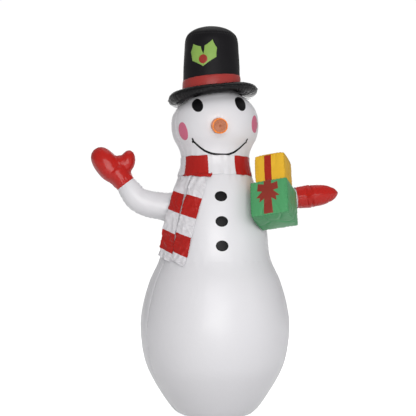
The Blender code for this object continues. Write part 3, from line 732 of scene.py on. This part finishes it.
def face_and_buttons():
    # Each print's node, angle, height, half width and height, slant, lift and dome.
    for node, angle, height, size, slant, lift, dome in (
        ("right_eye", -28.8, 1.889, (0.0335, 0.05), -0.04, 0.0012, 0.0008),
        ("left_eye", 35.2, 1.884, (0.031, 0.042), 0.1, 0.0012, 0.0008),
        ("right_cheek", -53, 1.728, (0.04, 0.056), 0.08, 0.0009, 0.0),
        ("left_cheek", 59, 1.778, (0.05, 0.052), -0.02, 0.0009, 0.0),
        ("top_button", 1.3, 1.333, (0.0372, 0.0318), 0.0, 0.001, 0.0012),
        ("middle_button", 1.3, 1.184, (0.0372, 0.0318), 0.0, 0.001, 0.0012),
        ("bottom_button", 1.3, 1.041, (0.0372, 0.0318), 0.0, 0.001, 0.0012),
    ):
        outline, angle = oval(*size, slant), radians(angle)
        finish, slot, facing = PRINT_BLACK, "print_black", None
        if node.endswith("cheek"):
            finish, slot = PRINT_PINK, "print_pink"
        if node.endswith("eye"):
            facing = EYES_FACE
        name = node + "_print"
        skin_patch(name, node, outline, angle, height, lift, finish, slot, dome, facing)

    middle, half = radians(3.1), radians(41.5)
    lowest, rise_of_ends = 0.14, 0.08
    curve = []
    for t in np.linspace(-1, 1, 17):
        if t < lowest:
            rise = ((lowest - t) / (1 + lowest)) ** 3.0
        else:
            rise = ((t - lowest) / (1 - lowest)) ** 2.15
        curve.append((SMILE_RADIUS * (middle + half * t), rise_of_ends * rise))
    paths = [curve]
    for (x, y), far, near in (
        (curve[0], (-0.002, 0.02), (-0.001, 0.008)),
        (curve[0], (-0.012, -0.008), (-0.005, -0.001)),
        (curve[-1], (0.004, 0.022), (0.001, 0.009)),
        (curve[-1], (0.008, -0.006), (0.005, -0.001)),
    ):
        paths.append(((x + far[0], y + far[1]), (x + near[0], y + near[1]), (x, y)))

    def place(x, y):
        return skin(x / SMILE_RADIUS, SMILE_HEIGHT + y, 0.0016)

    smile = strokes("smile_print", paths, 0.013, place)
    finish_piece(smile, "snowman", ["smile"], "print_black", PRINT_BLACK)
    nose()


def nose():
    """A short cone whose flat end is puckered to its middle."""
    profile = (
        (0.047, 0.0), (0.0458, 0.004), (0.0448, 0.02), (0.0442, 0.045), (0.044, 0.066),
        (0.0446, 0.078), (0.0452, 0.083), (0.044, 0.0862), (0.0412, 0.087), (0.0386, 0.0856),
        (0.034, 0.0842), (0.02, 0.0834), (0.008, 0.0831), (0.0025, 0.083),
    )
    path = smooth_path(profile, 8)
    turn = np.linspace(0, 2 * pi, 128, endpoint=False)[None]
    r, out = path[:, :1] + 0 * turn, path[:, 1:] + 0 * turn
    rim = bell(out - 0.084, 0.01) * np.where(r > 0.037, 1.0, 0.0)
    r -= 0.001 * rim * (0.5 + 0.5 * folds(turn * 0.045, 0.011, 2.0))
    end = np.clip((0.039 - r) / 0.032, 0, 1) * np.where(out > 0.078, 1.0, 0.0)
    rays = folds(turn * 0.02, 0.0085, 5.0)
    out = out + 0.001 * end * (1 - end) * 4 * rays - 0.0008 * end**2 * rays
    r0, z0, nr, nz = (float(v) for v in BODY.at(BODY.s_of(NOSE_AT[1])))
    angle = NOSE_AT[0]
    normal = np.array((nr * math.sin(angle), -nr * math.cos(angle), nz))
    side = np.array((math.cos(angle), math.sin(angle), 0.0))
    up = np.cross(normal, side)
    up *= np.sign(up[2])
    centre = np.array((r0 * math.sin(angle), -r0 * math.cos(angle), z0)) - normal * 0.003
    points = (
        centre
        + (r * np.cos(turn))[..., None] * side
        + (r * np.sin(turn))[..., None] * up
        + out[..., None] * normal
    )
    obj = capped("nose_cone", points)
    finish_piece(obj, "snowman", ["nose"], "orange_pvc", ORANGE, NOSE_END_PAINTED_REFLECTION)
    # The end disc's faces take the painted-reflection material.
    first = int(np.argmax((path[:, 0] < 0.0394) & (path[:, 1] > 0.08))) * 128
    for polygon in obj.data.polygons:
        if min(polygon.vertices) >= first:
            polygon.material_index = 1


# ---- scarf
def scarf():
    turns = circle(720)[None]
    v = np.linspace(0, 1, 30)[:, None]
    r = NECK_RADIUS
    degrees = np.degrees(turns)
    lip = smoothstep((degrees + 64) / 4) * smoothstep((-10 - degrees) / 2)
    lip *= (0.008 + 0.014 * smoothstep((degrees + 50) / 36))
    foot = COLLAR_FOOT - 0.008 - lip + 0.0018 * folds(turns * r, 0.085, 3.0)
    top = COLLAR_TOP + 0.0015 * folds(turns * r, 0.1, 8.0)
    height = foot + (top - foot) * v
    points = around(r, turns, height)
    crinkle = 0.001 * rough(points, 24.0) + 0.0006 * rough(points * (1, 1, 0.4), 60.0, 4.0)
    bulge = 0.003 * np.sqrt(np.clip(1 - (2 * v - 1) ** 2, 0, 1))
    draw = 0.0012 * folds(turns * r, 0.044, 5.5) * (0.3 + (2 * v - 1) ** 2)
    turned_out = 0.0095 * smoothstep((COLLAR_FOOT - 0.001 - height) / 0.012) * lip / 0.017
    lift = 0.003 + bulge + crinkle + draw + turned_out
    collar = grid("scarf_collar_wrap", skin(turns + 0 * v, height, lift), closed=True)
    middle_height = (height[1:] + height[:-1]) / 2
    share = (v[1:] + v[:-1]) / 2
    skewed = degrees + 0.25 + 18 - 3.2 * (1 - share) * (degrees < 0)
    red = (np.floor(skewed / 45.0).astype(int) % 2) == 1
    red = red | ((middle_height < COLLAR_FOOT - 0.006) & (lip > 0.002))
    collar.data.polygons.foreach_set("material_index", red.astype(np.int32).reshape(-1))
    thicken(collar, SCARF_FILM)
    finish_piece(collar, "snowman", ["scarf_collar"], "scarf", WHITE, SCARF_RED)
    scarf_tail("inner", TAIL_INNER, 1.0, (0.252, 0.478, 0.684, 0.898), 0.3, 0.004)
    scarf_tail("outer", TAIL_OUTER, 5.0, (0.222, 0.438, 0.672, 0.898), 0.28, 0.024)


def scarf_tail(name, sizes, seed, blocks, slant, free):
    """One hanging end of the scarf, with folds along it and crinkles across them."""
    top, foot, width, foot_height, flare = sizes
    rows, cols = 240, 56
    u = np.linspace(0, 1, cols)[None]
    v = np.linspace(0, 1, rows)[:, None]
    length = TAIL_TOP - foot_height
    line = v * length
    sway = 0.004 * rough_line(line, 6.0, seed)
    half = (width + flare * v) * (0.5 + 0.016 * rough_line(line, 6.0, seed + 2))
    x = (u - 0.5) * 2 * half + sway
    height = TAIL_TOP + 0.004 - line - slant * (0.75 + 0.4 * v) * x * smoothstep(v / 0.14)
    middle = top + (foot - top) * v
    radius = BODY.at(BODY.s_of(height))[0]
    angle = middle + x / radius
    flat = stacked(x + 0 * v, line + 0 * u, 0 * x + seed)
    gathered = 1 - smoothstep(v / 0.3)
    wander = 0.03 * rough_line(line, 5.0, seed) + 0.22 * line * (1 if seed < 3 else -1)
    fold = folds(x + wander + 0 * v, 0.052, seed)
    lift = 0.006 + 0.0022 * fold * (0.45 + 1.2 * gathered)
    for turn, pitch, shift in ((0.6, 15.0, 0.0), (-0.8, 21.0, 3.0), (1.5, 27.0, 6.0)):
        turned = stacked(
            flat[..., 0] * math.cos(turn) + flat[..., 1] * math.sin(turn),
            0.45 * (flat[..., 1] * math.cos(turn) - flat[..., 0] * math.sin(turn)),
            flat[..., 2],
        )
        crease = rough(turned, pitch, seed + shift)
        lift = lift + 0.003 * bell(crease, 0.16) + 0.0018 * crease
    lift += 0.001 * rough(flat, 70.0, seed + 5)
    ends = 0.0028 * bell(v - 1, 0.06) * folds(x + 0 * v, 0.075, seed + 9)
    edge = 0.0012 * (np.abs(2 * u - 1) ** 6) * folds(line, 0.085, seed + 4)
    edge += free * (1 - u) ** 1.5 * smoothstep(v / 0.35)
    lift = np.clip(lift + ends + edge, 0.0022, 0.045) * smoothstep(v / 0.055 + 0.25)
    obj = grid("scarf_tail_" + name + "_cloth", skin(angle, height, lift), flip=True)
    share = (np.arange(rows - 1) + 0.5) / (rows - 1)
    red = np.searchsorted(blocks, share) % 2
    obj.data.polygons.foreach_set("material_index", np.repeat(red, cols - 1).astype(np.int32))
    thicken(obj, SCARF_FILM, -1.0)
    finish_piece(obj, None, ["scarf_tail_" + name], "scarf", SCARF_WHITE, SCARF_RED)
    start, end = (skin(top, TAIL_TOP - drop)[()].tolist() for drop in (0.008, 0.06))
    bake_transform(obj)


# ---- hat
def crown_point(angle, s, lift=0.0):
    r, z, nr, nz = CROWN.at(s)
    points = around(r, angle, z)
    push = 0.0015 * rough(points, 7.0, 2.0) + 0.0005 * rough(points, 20.0, 5.0)
    weld = s - CROWN.s_of(CROWN_WELD)
    push -= 0.0018 * bell(weld, 0.003)
    push += 0.001 * folds(angle * 0.155, 0.019, 7.0) * bell(weld, 0.016)
    back = r * wrapped(angle - pi) * np.where(z < CROWN_WELD, 1.0, 9.0)
    push = push - 0.0016 * bell(back, 0.003) + 0.0008 * folds(z, 0.02, 3) * bell(back, 0.02)
    push += lift
    r, z = r + nr * push, z + nz * push
    return stacked(HAT_CENTRE[0] + r * np.sin(angle), -r * np.cos(angle), z)


def crown_skin(angle, height, lift=0.0):
    angle, height, lift = np.broadcast_arrays(angle, height, lift)
    return crown_point(angle, CROWN.s_of(height), lift)


def hat():
    columns = 256
    angle = circle(columns)[None]
    foot = HAT_CENTRE[2] + 0.01 + CROWN_OUTLINE[-1][0] * np.sin(angle) * math.tan(HAT_TILT)
    top = CROWN.s_of(2.12)
    v = np.linspace(0, 1, 24)[:, None]
    lower = CROWN.s_of(foot) * (1 - v) + top * v
    upper = np.linspace(top, 0.004, 110)[1:, None] + 0 * angle
    s = np.vstack([lower, upper])
    crown = capped("hat_crown_film", crown_point(angle + 0 * s, s))
    finish_piece(crown, "snowman", ["hat_crown"], "black_pvc", BLACK)

    v = np.linspace(0, 1, 16)[:, None]
    side = BAND_RADIUS * np.sin(angle)
    round_band = angle * BAND_RADIUS
    foot = HAT_CENTRE[2] + BAND_FOOT - 0.012 + side * math.tan(HAT_TILT)
    top = BAND_TOP + side * math.tan(BAND_TILT) + 0.0008 * folds(round_band, 0.06, 3.0)
    height = foot + (top - foot) * v
    lift = 0.001 + 0.0035 * np.sqrt(np.clip(1 - (2 * v - 1) ** 2, 0, 1))
    lift = lift + 0.0007 * folds(round_band, 0.03, 6.0) * (2 * v - 1) ** 2
    band = grid("hat_band_film", crown_skin(angle + 0 * v, height, lift), closed=True)
    thicken(band, 0.0008)
    finish_piece(band, "snowman", ["hat_band"], "hat_band", BAND_RED)
    brim()
    holly()


def brim():
    """A tube round the hat whose outer weld draws it into creases."""
    columns, rows = 440, 84
    angle = circle(columns)[None]
    turn = circle(rows)[:, None]
    rim = angle * (BRIM_RING + BRIM_HALF_WIDTH)
    weld = turn * BRIM_TUBE
    upper, lower = folds(rim, 0.026, 4.0), folds(rim, 0.024, 14.0)
    puckers = np.where(turn > 0, upper, lower)
    creases = np.where(turn > 0, pinch(rim, 0.03, 9.0), pinch(rim, 0.027, 19.0))
    slim = bell(weld, 0.03)
    out = -0.0011 * slim * (1 + puckers) * (1 - bell(weld, 0.004))
    lively = 0.4 + 0.6 * np.clip(rough_line(rim, 6.0, 8.0) * 1.6, -0.6, 1.0)
    out -= 0.0034 * lively * creases * bell(np.abs(weld) - 0.016, 0.016)
    out += 0.005 * bell(weld, 0.0022)
    points = around(BRIM_RING, angle, 0.05 * np.sin(turn))
    out = out + 0.0026 * rough(points, 9.0, 3.0) + 0.001 * rough(points, 40.0, 6.0)
    out -= 0.0016 * bell(rough(points, 26.0, 9.0), 0.1)
    inner = bell(wrapped(turn - pi) * BRIM_TUBE, 0.02)
    out -= 0.0018 * inner * (1 + folds(angle * 0.18, 0.02, 6.0)) * 0.6
    back = bell(wrapped(angle - pi) * 0.28, 0.035) * bell(weld, 0.05)
    out *= (1 - back)
    wide, tall = BRIM_HALF_WIDTH + out, BRIM_HALF_HEIGHT + out
    r = BRIM_RING + wide * np.cos(turn)
    outward = (r - BRIM_RING + BRIM_HALF_WIDTH) / (2 * BRIM_HALF_WIDTH)
    r += BRIM_TO_LEFT * np.sin(angle) * outward
    front = np.maximum(np.cos(angle), 0) ** 1.5
    z = tall * np.sin(turn) * (1 - BRIM_FRONT_FLATTER * front)
    z = z + BRIM_RISE + BRIM_FRONT_RISE * front
    z -= 0.007 * bell(wrapped(angle + 1.75), 0.55) * outward
    world = tilted(r * np.sin(angle), -r * np.cos(angle), z)
    obj = grid("hat_brim_film", world, closed=True, tube=True)
    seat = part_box("hat_valve_seat")
    pierce(obj, (seat[0] + seat[1]) / 2, (0, 1, 0), HAT_VALVE_HOLE)
    finish_piece(obj, "snowman", ["hat_brim"], "black_pvc", BRIM_BLACK)


def spiked(corners, pull, steps=8):
    """A leaf's edge: hollow arcs between its spikes."""
    corners = np.array(corners, float)
    middle = corners.mean(axis=0)
    path = []
    for a, b in zip(corners, np.roll(corners, -1, axis=0)):
        bend = (a + b) / 2 + pull * (middle - (a + b) / 2)
        for t in np.linspace(0, 1, steps, endpoint=False):
            path.append((1 - t) ** 2 * a + 2 * t * (1 - t) * bend + t * t * b)
    return np.array(path)


def holly():
    """Two spiky leaves that meet at a berry, printed on the front of the crown."""
    angle, height = radians(-22.5), 2.125

    def place(lift):
        def put(x, y, share):
            return crown_skin(angle + x / HOLLY_RADIUS, height + y, lift * film_edge(share))

        return put

    right = (
        (0.0, 0.0), (-0.001, 0.079), (-0.0175, 0.123), (-0.073, 0.144), (-0.0925, 0.095),
        (-0.076, 0.039),
    )
    left = (
        (0.0, 0.0), (0.081, 0.056), (0.086, 0.112), (0.0575, 0.1625), (0.0075, 0.127),
        (0.0005, 0.079),
    )
    for side, corners, centre in (
        ("right", right, (-0.042, 0.08)),
        ("left", left, (0.045, 0.085)),
    ):
        node = "holly_leaf_" + side
        leaf = patch(node + "_print", spiked(corners, 0.1), place(0.0012), 12, centre)
        finish_piece(leaf, "snowman", [node], "leaf_green", LEAF)
    angle = radians(-22.8)
    height = 2.17
    berry = patch("holly_berry_print", oval(0.0285, 0.0285), place(0.0024), 8)
    finish_piece(berry, "snowman", ["holly_berry"], "red_pvc", BERRY)


# ---- arms
def root_of(arm, turn):
    """Length along the arm at which each of its lines leaves the body."""
    s = np.linspace(0, 0.5 * arm.length, 400)[:, None]
    points = arm.point(s + 0 * turn, turn + 0 * s)
    radius = BODY.at(BODY.s_of(points[..., 2]))[0]
    outside = np.hypot(points[..., 0], points[..., 1]) > radius
    return s[np.argmax(outside, axis=0), 0]


def sleeve(name, arm, body, seed):
    columns, rows = 144, 170
    turn = circle(columns)
    root = root_of(arm, turn[None])
    kernel = np.ones(5) / 5
    root = np.convolve(np.pad(root, 2, mode="wrap"), kernel, "valid") - 0.006
    v = np.linspace(0, 1, rows)[:, None]
    end = arm.length + 0.004
    s = root[None] + (end - root[None]) * v
    turn = turn[None] + 0 * s
    points = arm.point(s, turn)
    out = 0.0016 * rough(points, 9.0, seed) + 0.0006 * rough(points, 26.0, seed)
    for i, line in enumerate((0.0, pi)):
        away = 0.08 * wrapped(turn - line)
        out = out - 0.0024 * bell(away, 0.003) - 0.0016 * bell(away, 0.014)
        out += 0.0017 * folds(s, 0.024, seed + 4 * i) * bell(away, 0.026)
    if body == "right_arm":
        bend = bell(s - 0.235, 0.06) * np.clip(np.cos(turn), 0, 1) ** 1.5
        out = out - 0.0026 * bend * pinch(s, 0.026, seed + 2) + 0.0012 * bend * folds(s, 0.03, 2)
    start = s - root[None]
    out = out + 0.0065 * bell(start, 0.01) + 0.003 * bell(start, 0.028)
    out += 0.0022 * folds(0.085 * turn, 0.036, seed + 6) * bell(start - 0.014, 0.022)
    cuff = end - s
    out -= 0.0012 * bell(cuff, 0.006)
    out += 0.0014 * folds(0.062 * turn, 0.02, seed + 7) * bell(cuff - 0.008, 0.014)
    obj = grid(name + "_film", arm.point(s, turn, out), closed=True, flip=arm is ARM_R)
    finish_piece(obj, None, [name], "white_pvc", WHITE)
    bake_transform(obj)


def hand_height(x, y, reach):
    """Half the thickness, squared, of an unwelded mitten. It is negative outside."""
    half = 0.42 * reach
    radius = 0.0622 + 0.06 * x
    beyond = np.maximum((x - 0.09) / 0.04, 0) + np.maximum((-0.03 - x) / 0.03, 0)
    cuff = radius**2 - y**2 - (0.075 * beyond) ** 2
    across = np.abs((x - reach + half) / half) ** 2.3 + np.abs((y + 0.021) / 0.072) ** 2.3
    palm = 0.066**2 * (1 - across)
    cos, sin = math.cos(radians(48)), math.sin(radians(48))
    u, v = (x - 0.104) * cos + (y - 0.092) * sin, (y - 0.092) * cos - (x - 0.104) * sin
    thumb = 0.044**2 * (1 - (u / 0.068) ** 2 - (v / 0.043) ** 2)
    web = 0.044**2 * (1 - ((x - 0.122) / 0.047) ** 2 - ((y - 0.051) / 0.04) ** 2)
    soft = 0.0006
    return soft * np.log(sum(np.exp(np.maximum(h, -0.05) / soft) for h in (cuff, palm, thumb, web)))


def polar(centre, distance, turns):
    x, y = centre
    return x + distance * np.cos(turns), y + distance * np.sin(turns)


def hand_outline(centre, turns, reach):
    """Distance from the centre to the mitten's edge in each direction."""
    away = np.linspace(0.02, 0.3, 1200)[:, None]
    inside = hand_height(*polar(centre, away, turns), reach) > 0
    return away[np.argmin(inside, axis=0), 0]


def mitten(name, body, arm, fingers, thumb_side, reach, seed, crinkle):
    """An inflated hand of two welded sheets: +X fingers, +Y thumb, +Z palm."""
    columns, rings = ((420, 40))
    centre = (0.088, 0.018)
    turns = circle(columns)
    sharp = hand_outline(centre, turns, reach)
    width = columns / 150
    reach_of = np.arange(-12, 13)
    kernel = np.exp(-0.5 * (reach_of / width) ** 2)
    edge = np.convolve(np.pad(sharp, 12, mode="wrap"), kernel / kernel.sum(), "valid")
    rim_x, rim_y = edge * np.cos(turns), edge * np.sin(turns)
    steps = np.hypot(np.diff(rim_x, append=rim_x[:1]), np.diff(rim_y, append=rim_y[:1]))
    rim = np.cumsum(steps)[None]

    share = np.sin(np.linspace(0.03, pi / 2, rings))[:, None]
    flat = polar(centre, share * sharp, turns)
    thick = np.sqrt(np.maximum(hand_height(*flat, reach), 0))
    x, y = polar(centre, share * edge, turns)
    gap = (1 - share) * edge
    hand = smoothstep((x - 0.01) / 0.03)

    sheets = []
    for side in (1, -1):
        z = thick * (1 - 0.16 * bell(gap, 0.012) * hand)
        if crinkle:
            z *= (1.08 - 0.28 * smoothstep((x - 0.09) / 0.17))
        spot = stacked(x, y, side * thick)
        z += 0.0015 * rough(spot, 11.0, seed) * np.minimum(thick / 0.02, 1)
        drawn = 1.0 if crinkle else 0.3
        z -= 0.1 * drawn * thick * (1 + folds(rim, 0.024, seed)) * bell(gap, 0.026) * hand
        z -= 0.16 * drawn * thick * pinch(rim, 0.034, seed + 3) * bell(gap, 0.03) * hand
        crotch = np.hypot(x - 0.14, y - 0.066)
        rays = np.arctan2(y - 0.07, x - 0.146)
        lively = np.minimum(thick / 0.025, 1)
        deep = 0.003 if crinkle else 0.0014
        z -= deep * pinch(rays * 0.04, 0.02, seed + 5) * bell(crotch - 0.02, 0.03) * lively
        cuff_turn = np.arctan2(y, z)
        z += 0.0014 * folds(cuff_turn * 0.064, 0.019, seed + 8) * bell(x - 0.02, 0.012)
        z -= 0.003 * bell(x - 0.01, 0.0035) * lively
        if crinkle:
            tip = smoothstep((x - 0.13) / 0.07) * lively
            z -= 0.004 * bell(rough(spot, 15.0, seed + 2), 0.13) * tip
            z -= 0.0045 * bell(x - 0.096 - 0.18 * y, 0.0045) * lively
            z += 0.0022 * bell(x - 0.112 - 0.18 * y, 0.01) * lively
        sheets.append(stacked(x, y, side * np.maximum(z, 0.0006)))
    flange = edge + 0.0032 * smoothstep((rim_x + centre[0] - 0.01) / 0.02)
    flange += 0.0004 * folds(rim[0], 0.024, seed)
    weld = stacked(*polar(centre, flange, turns), 0.0)
    local = np.concatenate([sheets[0], weld[None], sheets[1][::-1]])
    palm = np.cross(fingers, thumb_side)
    start = arm.path[-1, :3] + np.asarray(fingers) * 0.001
    points = local @ np.array([fingers, thumb_side, palm]) + start
    obj = capped(name + "_film", points, flip=True, both=True)
    bm = bmesh.new()
    bm.from_mesh(obj.data)
    geom = bm.verts[:] + bm.edges[:] + bm.faces[:]
    bmesh.ops.bisect_plane(bm, geom=geom, plane_co=start, plane_no=fingers, clear_inner=True)
    bm.to_mesh(obj.data)
    bm.free()
    finish_piece(obj, body, [name], "red_pvc", MITTEN_RED)


def arms():
    sleeve("right_sleeve", ARM_R, "right_arm", 1.0)
    x, z = math.cos(MITTEN_TILT_R), math.sin(MITTEN_TILT_R)
    fingers, thumb = np.array((x, 0, z)), np.array((z, 0, -x))
    mitten("right_mitten", "right_arm", ARM_R, fingers, thumb, 0.281, 2.0, False)
    sleeve("left_sleeve", ARM_L, "left_arm", 11.0)
    fingers = np.array((math.cos(MITTEN_TILT_L), 0, math.sin(MITTEN_TILT_L)))
    thumb = np.array((0.0, 1.0, 0.0))
    mitten("left_mitten", "left_arm", ARM_L, fingers, thumb, 0.266, 6.0, True)


# ---- gifts
ON_FACE = 0.999


class Gift:
    """An inflated box: its faces swell, and its welded edges are drawn in and creased."""

    def __init__(self, edge, where, seed, flat_top=False, flat_bottom=False):
        self.half, self.where, self.seed = edge / 2, where, seed
        self.flat = (flat_bottom, flat_top)

    def point(self, unit, lift=0.0):
        """Places points of the surface of a cube of side 2."""
        half, rounding = self.half, 0.0075
        inner = half - rounding
        flat = unit * half
        core = np.clip(flat, -inner, inner)
        away = flat - core
        size = np.linalg.norm(away, axis=-1, keepdims=True)
        normal = away / np.maximum(size, 1e-9)
        base = core + rounding * normal
        room = np.sqrt(np.clip(1 - unit**2, 0, 1))
        swell = np.ones(unit.shape[:-1])
        for axis in range(3):
            swell *= np.where(np.abs(unit[..., axis]) > ON_FACE, 1.0, room[..., axis])
        low, high = self.flat
        back, up = unit[..., 1] > ON_FACE, unit[..., 2]
        flat_face = back | ((up < -ON_FACE) & low) | ((up > ON_FACE) & high)
        swell = np.where(flat_face, 0.0, 0.007 * swell**1.2)
        order = np.sort(np.abs(unit), axis=-1)
        edge = (1 - order[..., 1]) * half
        along = unit * half
        position = np.where(np.abs(unit) < order[..., 1:2] - 1e-6, along, 0.0).sum(axis=-1)
        position += 3.0 * np.argmax(np.abs(unit), axis=-1)
        puckers = folds(position, 0.022, self.seed)
        out = swell - 0.0014 * bell(edge, 0.016) * (1 + puckers)
        out += 0.0016 * bell(edge, 0.0022)
        creases = np.abs(rough(base * (1, 1, 0.5), 11.0, self.seed))
        out -= 0.0026 * bell(creases, 0.1) * np.clip(edge / 0.02, 0, 1)
        out += 0.001 * rough(base, 26.0, self.seed + 3)
        valve = np.hypot(base[..., 0] - 0.5 * half, base[..., 2] - 0.36 * half)
        out = np.where(back, out * (1 - bell(valve, 0.024)), out)
        local = base + normal * (np.minimum(out, 0.0065) + lift - 0.001)[..., None]
        matrix = np.array(self.where)
        return local @ matrix[:3, :3].T + matrix[:3, 3]

    def film(self, name, cuts):
        bm = bmesh.new()
        bmesh.ops.create_cube(bm, size=2.0)
        bmesh.ops.subdivide_edges(bm, edges=bm.edges[:], cuts=cuts, use_grid_fill=True)
        mesh = bpy.data.meshes.new(name)
        bm.to_mesh(mesh)
        bm.free()
        co = np.empty(len(mesh.vertices) * 3, np.float32)
        mesh.vertices.foreach_get("co", co)
        moved = self.point(co.reshape(-1, 3).astype(float)).astype(np.float32)
        mesh.vertices.foreach_set("co", moved.reshape(-1))
        mesh.shade_smooth()
        obj = add_object(name, mesh)
        seat = self.where @ Vector((0.5 * self.half, self.half, 0.36 * self.half))
        axis = self.where.to_3x3() @ Vector((0, 1, 0))
        pierce(obj, seat, axis, GIFT_VALVE_HOLE)
        return obj


GREEN_WHERE = Matrix.Translation(GREEN_CENTRE) @ GIFT_TURN
YELLOW_WHERE = GREEN_WHERE @ Matrix.Translation(
    (0.003, 0.004, (GREEN_EDGE + YELLOW_EDGE) / 2 + 0.004)
)
GREEN_GIFT = Gift(GREEN_EDGE, GREEN_WHERE, 2.0, flat_top=True)
YELLOW_GIFT = Gift(YELLOW_EDGE, YELLOW_WHERE, 9.0, flat_bottom=True)


def gifts():
    cuts = 64
    box = GREEN_GIFT.film("green_gift_film", cuts)
    finish_piece(box, "left_arm", ["green_gift"], "green_pvc", GREEN)
    box = YELLOW_GIFT.film("yellow_gift_film", cuts)
    finish_piece(box, "left_arm", ["yellow_gift"], "yellow_pvc", YELLOW)

    # The yellow box's ribbon: up the front, over the top and down the back.
    u = np.linspace(-1, 1, 12)[None]
    v = np.linspace(0, 1, 150)[:, None] * 6 - 3
    y = np.where(np.abs(v) < 1, v, np.sign(v)) + 0 * u
    z = np.where(np.abs(v) < 1, 1.0, 2 - np.abs(v)) + 0 * u
    z = np.clip(z, -1, 1)
    x = (-0.01 + 0.0215 * u) / YELLOW_GIFT.half + 0 * v
    unit = stacked(x, y, z)
    lift = 0.0009 * np.clip((1 - np.abs(u)) * 8 + 0.2, 0, 1) + 0 * v
    strip = grid("yellow_gift_ribbon_print", YELLOW_GIFT.point(unit, lift))
    finish_piece(strip, "left_arm", ["yellow_gift_ribbon"], "ribbon_red", RIBBON_RED)

    # The green box's ribbon and bow, on its front face.
    half = GREEN_GIFT.half

    def on_front(x, y, share):
        unit = stacked((x - 0.006) / half, -np.ones_like(x), np.clip(y / half, -1, 1))
        return GREEN_GIFT.point(unit, 0.001 * film_edge(share))

    half_bow = (
        (0.115, 0.49), (0.115, 0.37), (0.31, 0.42), (0.33, 0.2), (0.17, 0.17),
        (0.37, 0.0), (0.25, -0.01), (0.27, -0.14), (0.115, -0.04), (0.145, -0.47),
    )
    half_bow = [(0.87 * x, y) for x, y in half_bow]
    corners = [*half_bow[::-1], *[(-x, y) for x, y in half_bow]]
    outline = spiked(np.array(corners) * GREEN_EDGE, 0.0, 10)
    bow = patch("green_gift_bow_print", outline, on_front, 14, (0.0, 0.16 * GREEN_EDGE))
    finish_piece(bow, "left_arm", ["green_gift_bow"], "ribbon_red", BOW_RED)


# ---- tether points
def tethers():
    for side, angle in zip(("right", "left"), TETHER_ANGLES):
        node = side + "_tether_patch"
        outline = oval(0.042, 0.042)
        skin_patch(
            node + "_film", node, outline, angle, TETHER_HEIGHT, 0.0016, WHITE, "white_pvc"
        )


# ---- camera and light
def aim(obj, height):
    """Turns a camera or a light to a point of the vertical axis."""
    away = Vector((0, 0, height)) - obj.location
    obj.rotation_euler = away.to_track_quat("-Z", "Y").to_euler()


def stage():
    camera = bpy.data.cameras.new("camera")
    view = add_object("camera", camera)
    view.location = (
        math.sin(CAMERA_AZIMUTH) * CAMERA_DISTANCE,
        -math.cos(CAMERA_AZIMUTH) * CAMERA_DISTANCE,
        CAMERA_HEIGHT,
    )
    aim(view, CAMERA_AIM)
    camera.sensor_width = 36
    camera.angle = CAMERA_ANGLE
    camera.shift_x = CAMERA_SHIFT
    bpy.context.scene.camera = view

    reach = (-FLOOR_REACH, FLOOR_REACH)
    floor = grid("floor", np.array([[(x, y, 0.0) for x in reach] for y in reach]))
    surface = bpy.data.materials.new("pale_floor")
    surface.use_nodes = True
    set_inputs(
        surface.node_tree.nodes["Principled BSDF"],
        Base_Color=(0.92, 0.92, 0.92, 1),
        Roughness=0.7,
        Emission_Color=(1, 1, 1, 1),
        Emission_Strength=FLOOR_GLOW,
    )
    floor.data.materials.append(surface)
    floor.visible_diffuse = False
    floor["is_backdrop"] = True

    # The sky is brighter behind the snowman than in front of it.
    world = bpy.data.worlds.new("studio")
    bpy.context.scene.world = world
    world.use_nodes = True
    tree, links = world.node_tree, world.node_tree.links
    place = new_node(tree, "TexCoord").outputs["Generated"]
    axes = new_node(tree, "SeparateXYZ")
    links.new(place, axes.inputs["Vector"])
    bright = new_node(tree, "MapRange")
    bright.interpolation_type = "SMOOTHSTEP"
    first, last = WORLD_TURN
    set_inputs(bright, From_Min=first, From_Max=last, To_Min=WORLD_FRONT, To_Max=WORLD_BACK)
    links.new(axes.outputs["Y"], bright.inputs["Value"])
    background = tree.nodes["Background"]
    set_inputs(background, Color=(1.0, 1.0, 1.0, 1))
    links.new(bright.outputs["Result"], background.inputs["Strength"])

    for name, place, size, power, colour in LIGHTS:
        data = bpy.data.lights.new(name, "AREA")
        data.shape = "SQUARE"
        data.size, data.energy, data.color = size, power, colour
        lamp = add_object(name, data)
        lamp.location = place
        aim(lamp, LIGHT_AIM)
    bpy.context.scene.view_settings.view_transform = "Standard"


body_panels()
face_and_buttons()
scarf()
hat()
arms()
gifts()
tethers()
stage()


def plain(value):
    return [plain(v) for v in value] if hasattr(value, "__len__") else float(value)


{"cad": plain(cad_bounds), "visual": plain(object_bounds())}
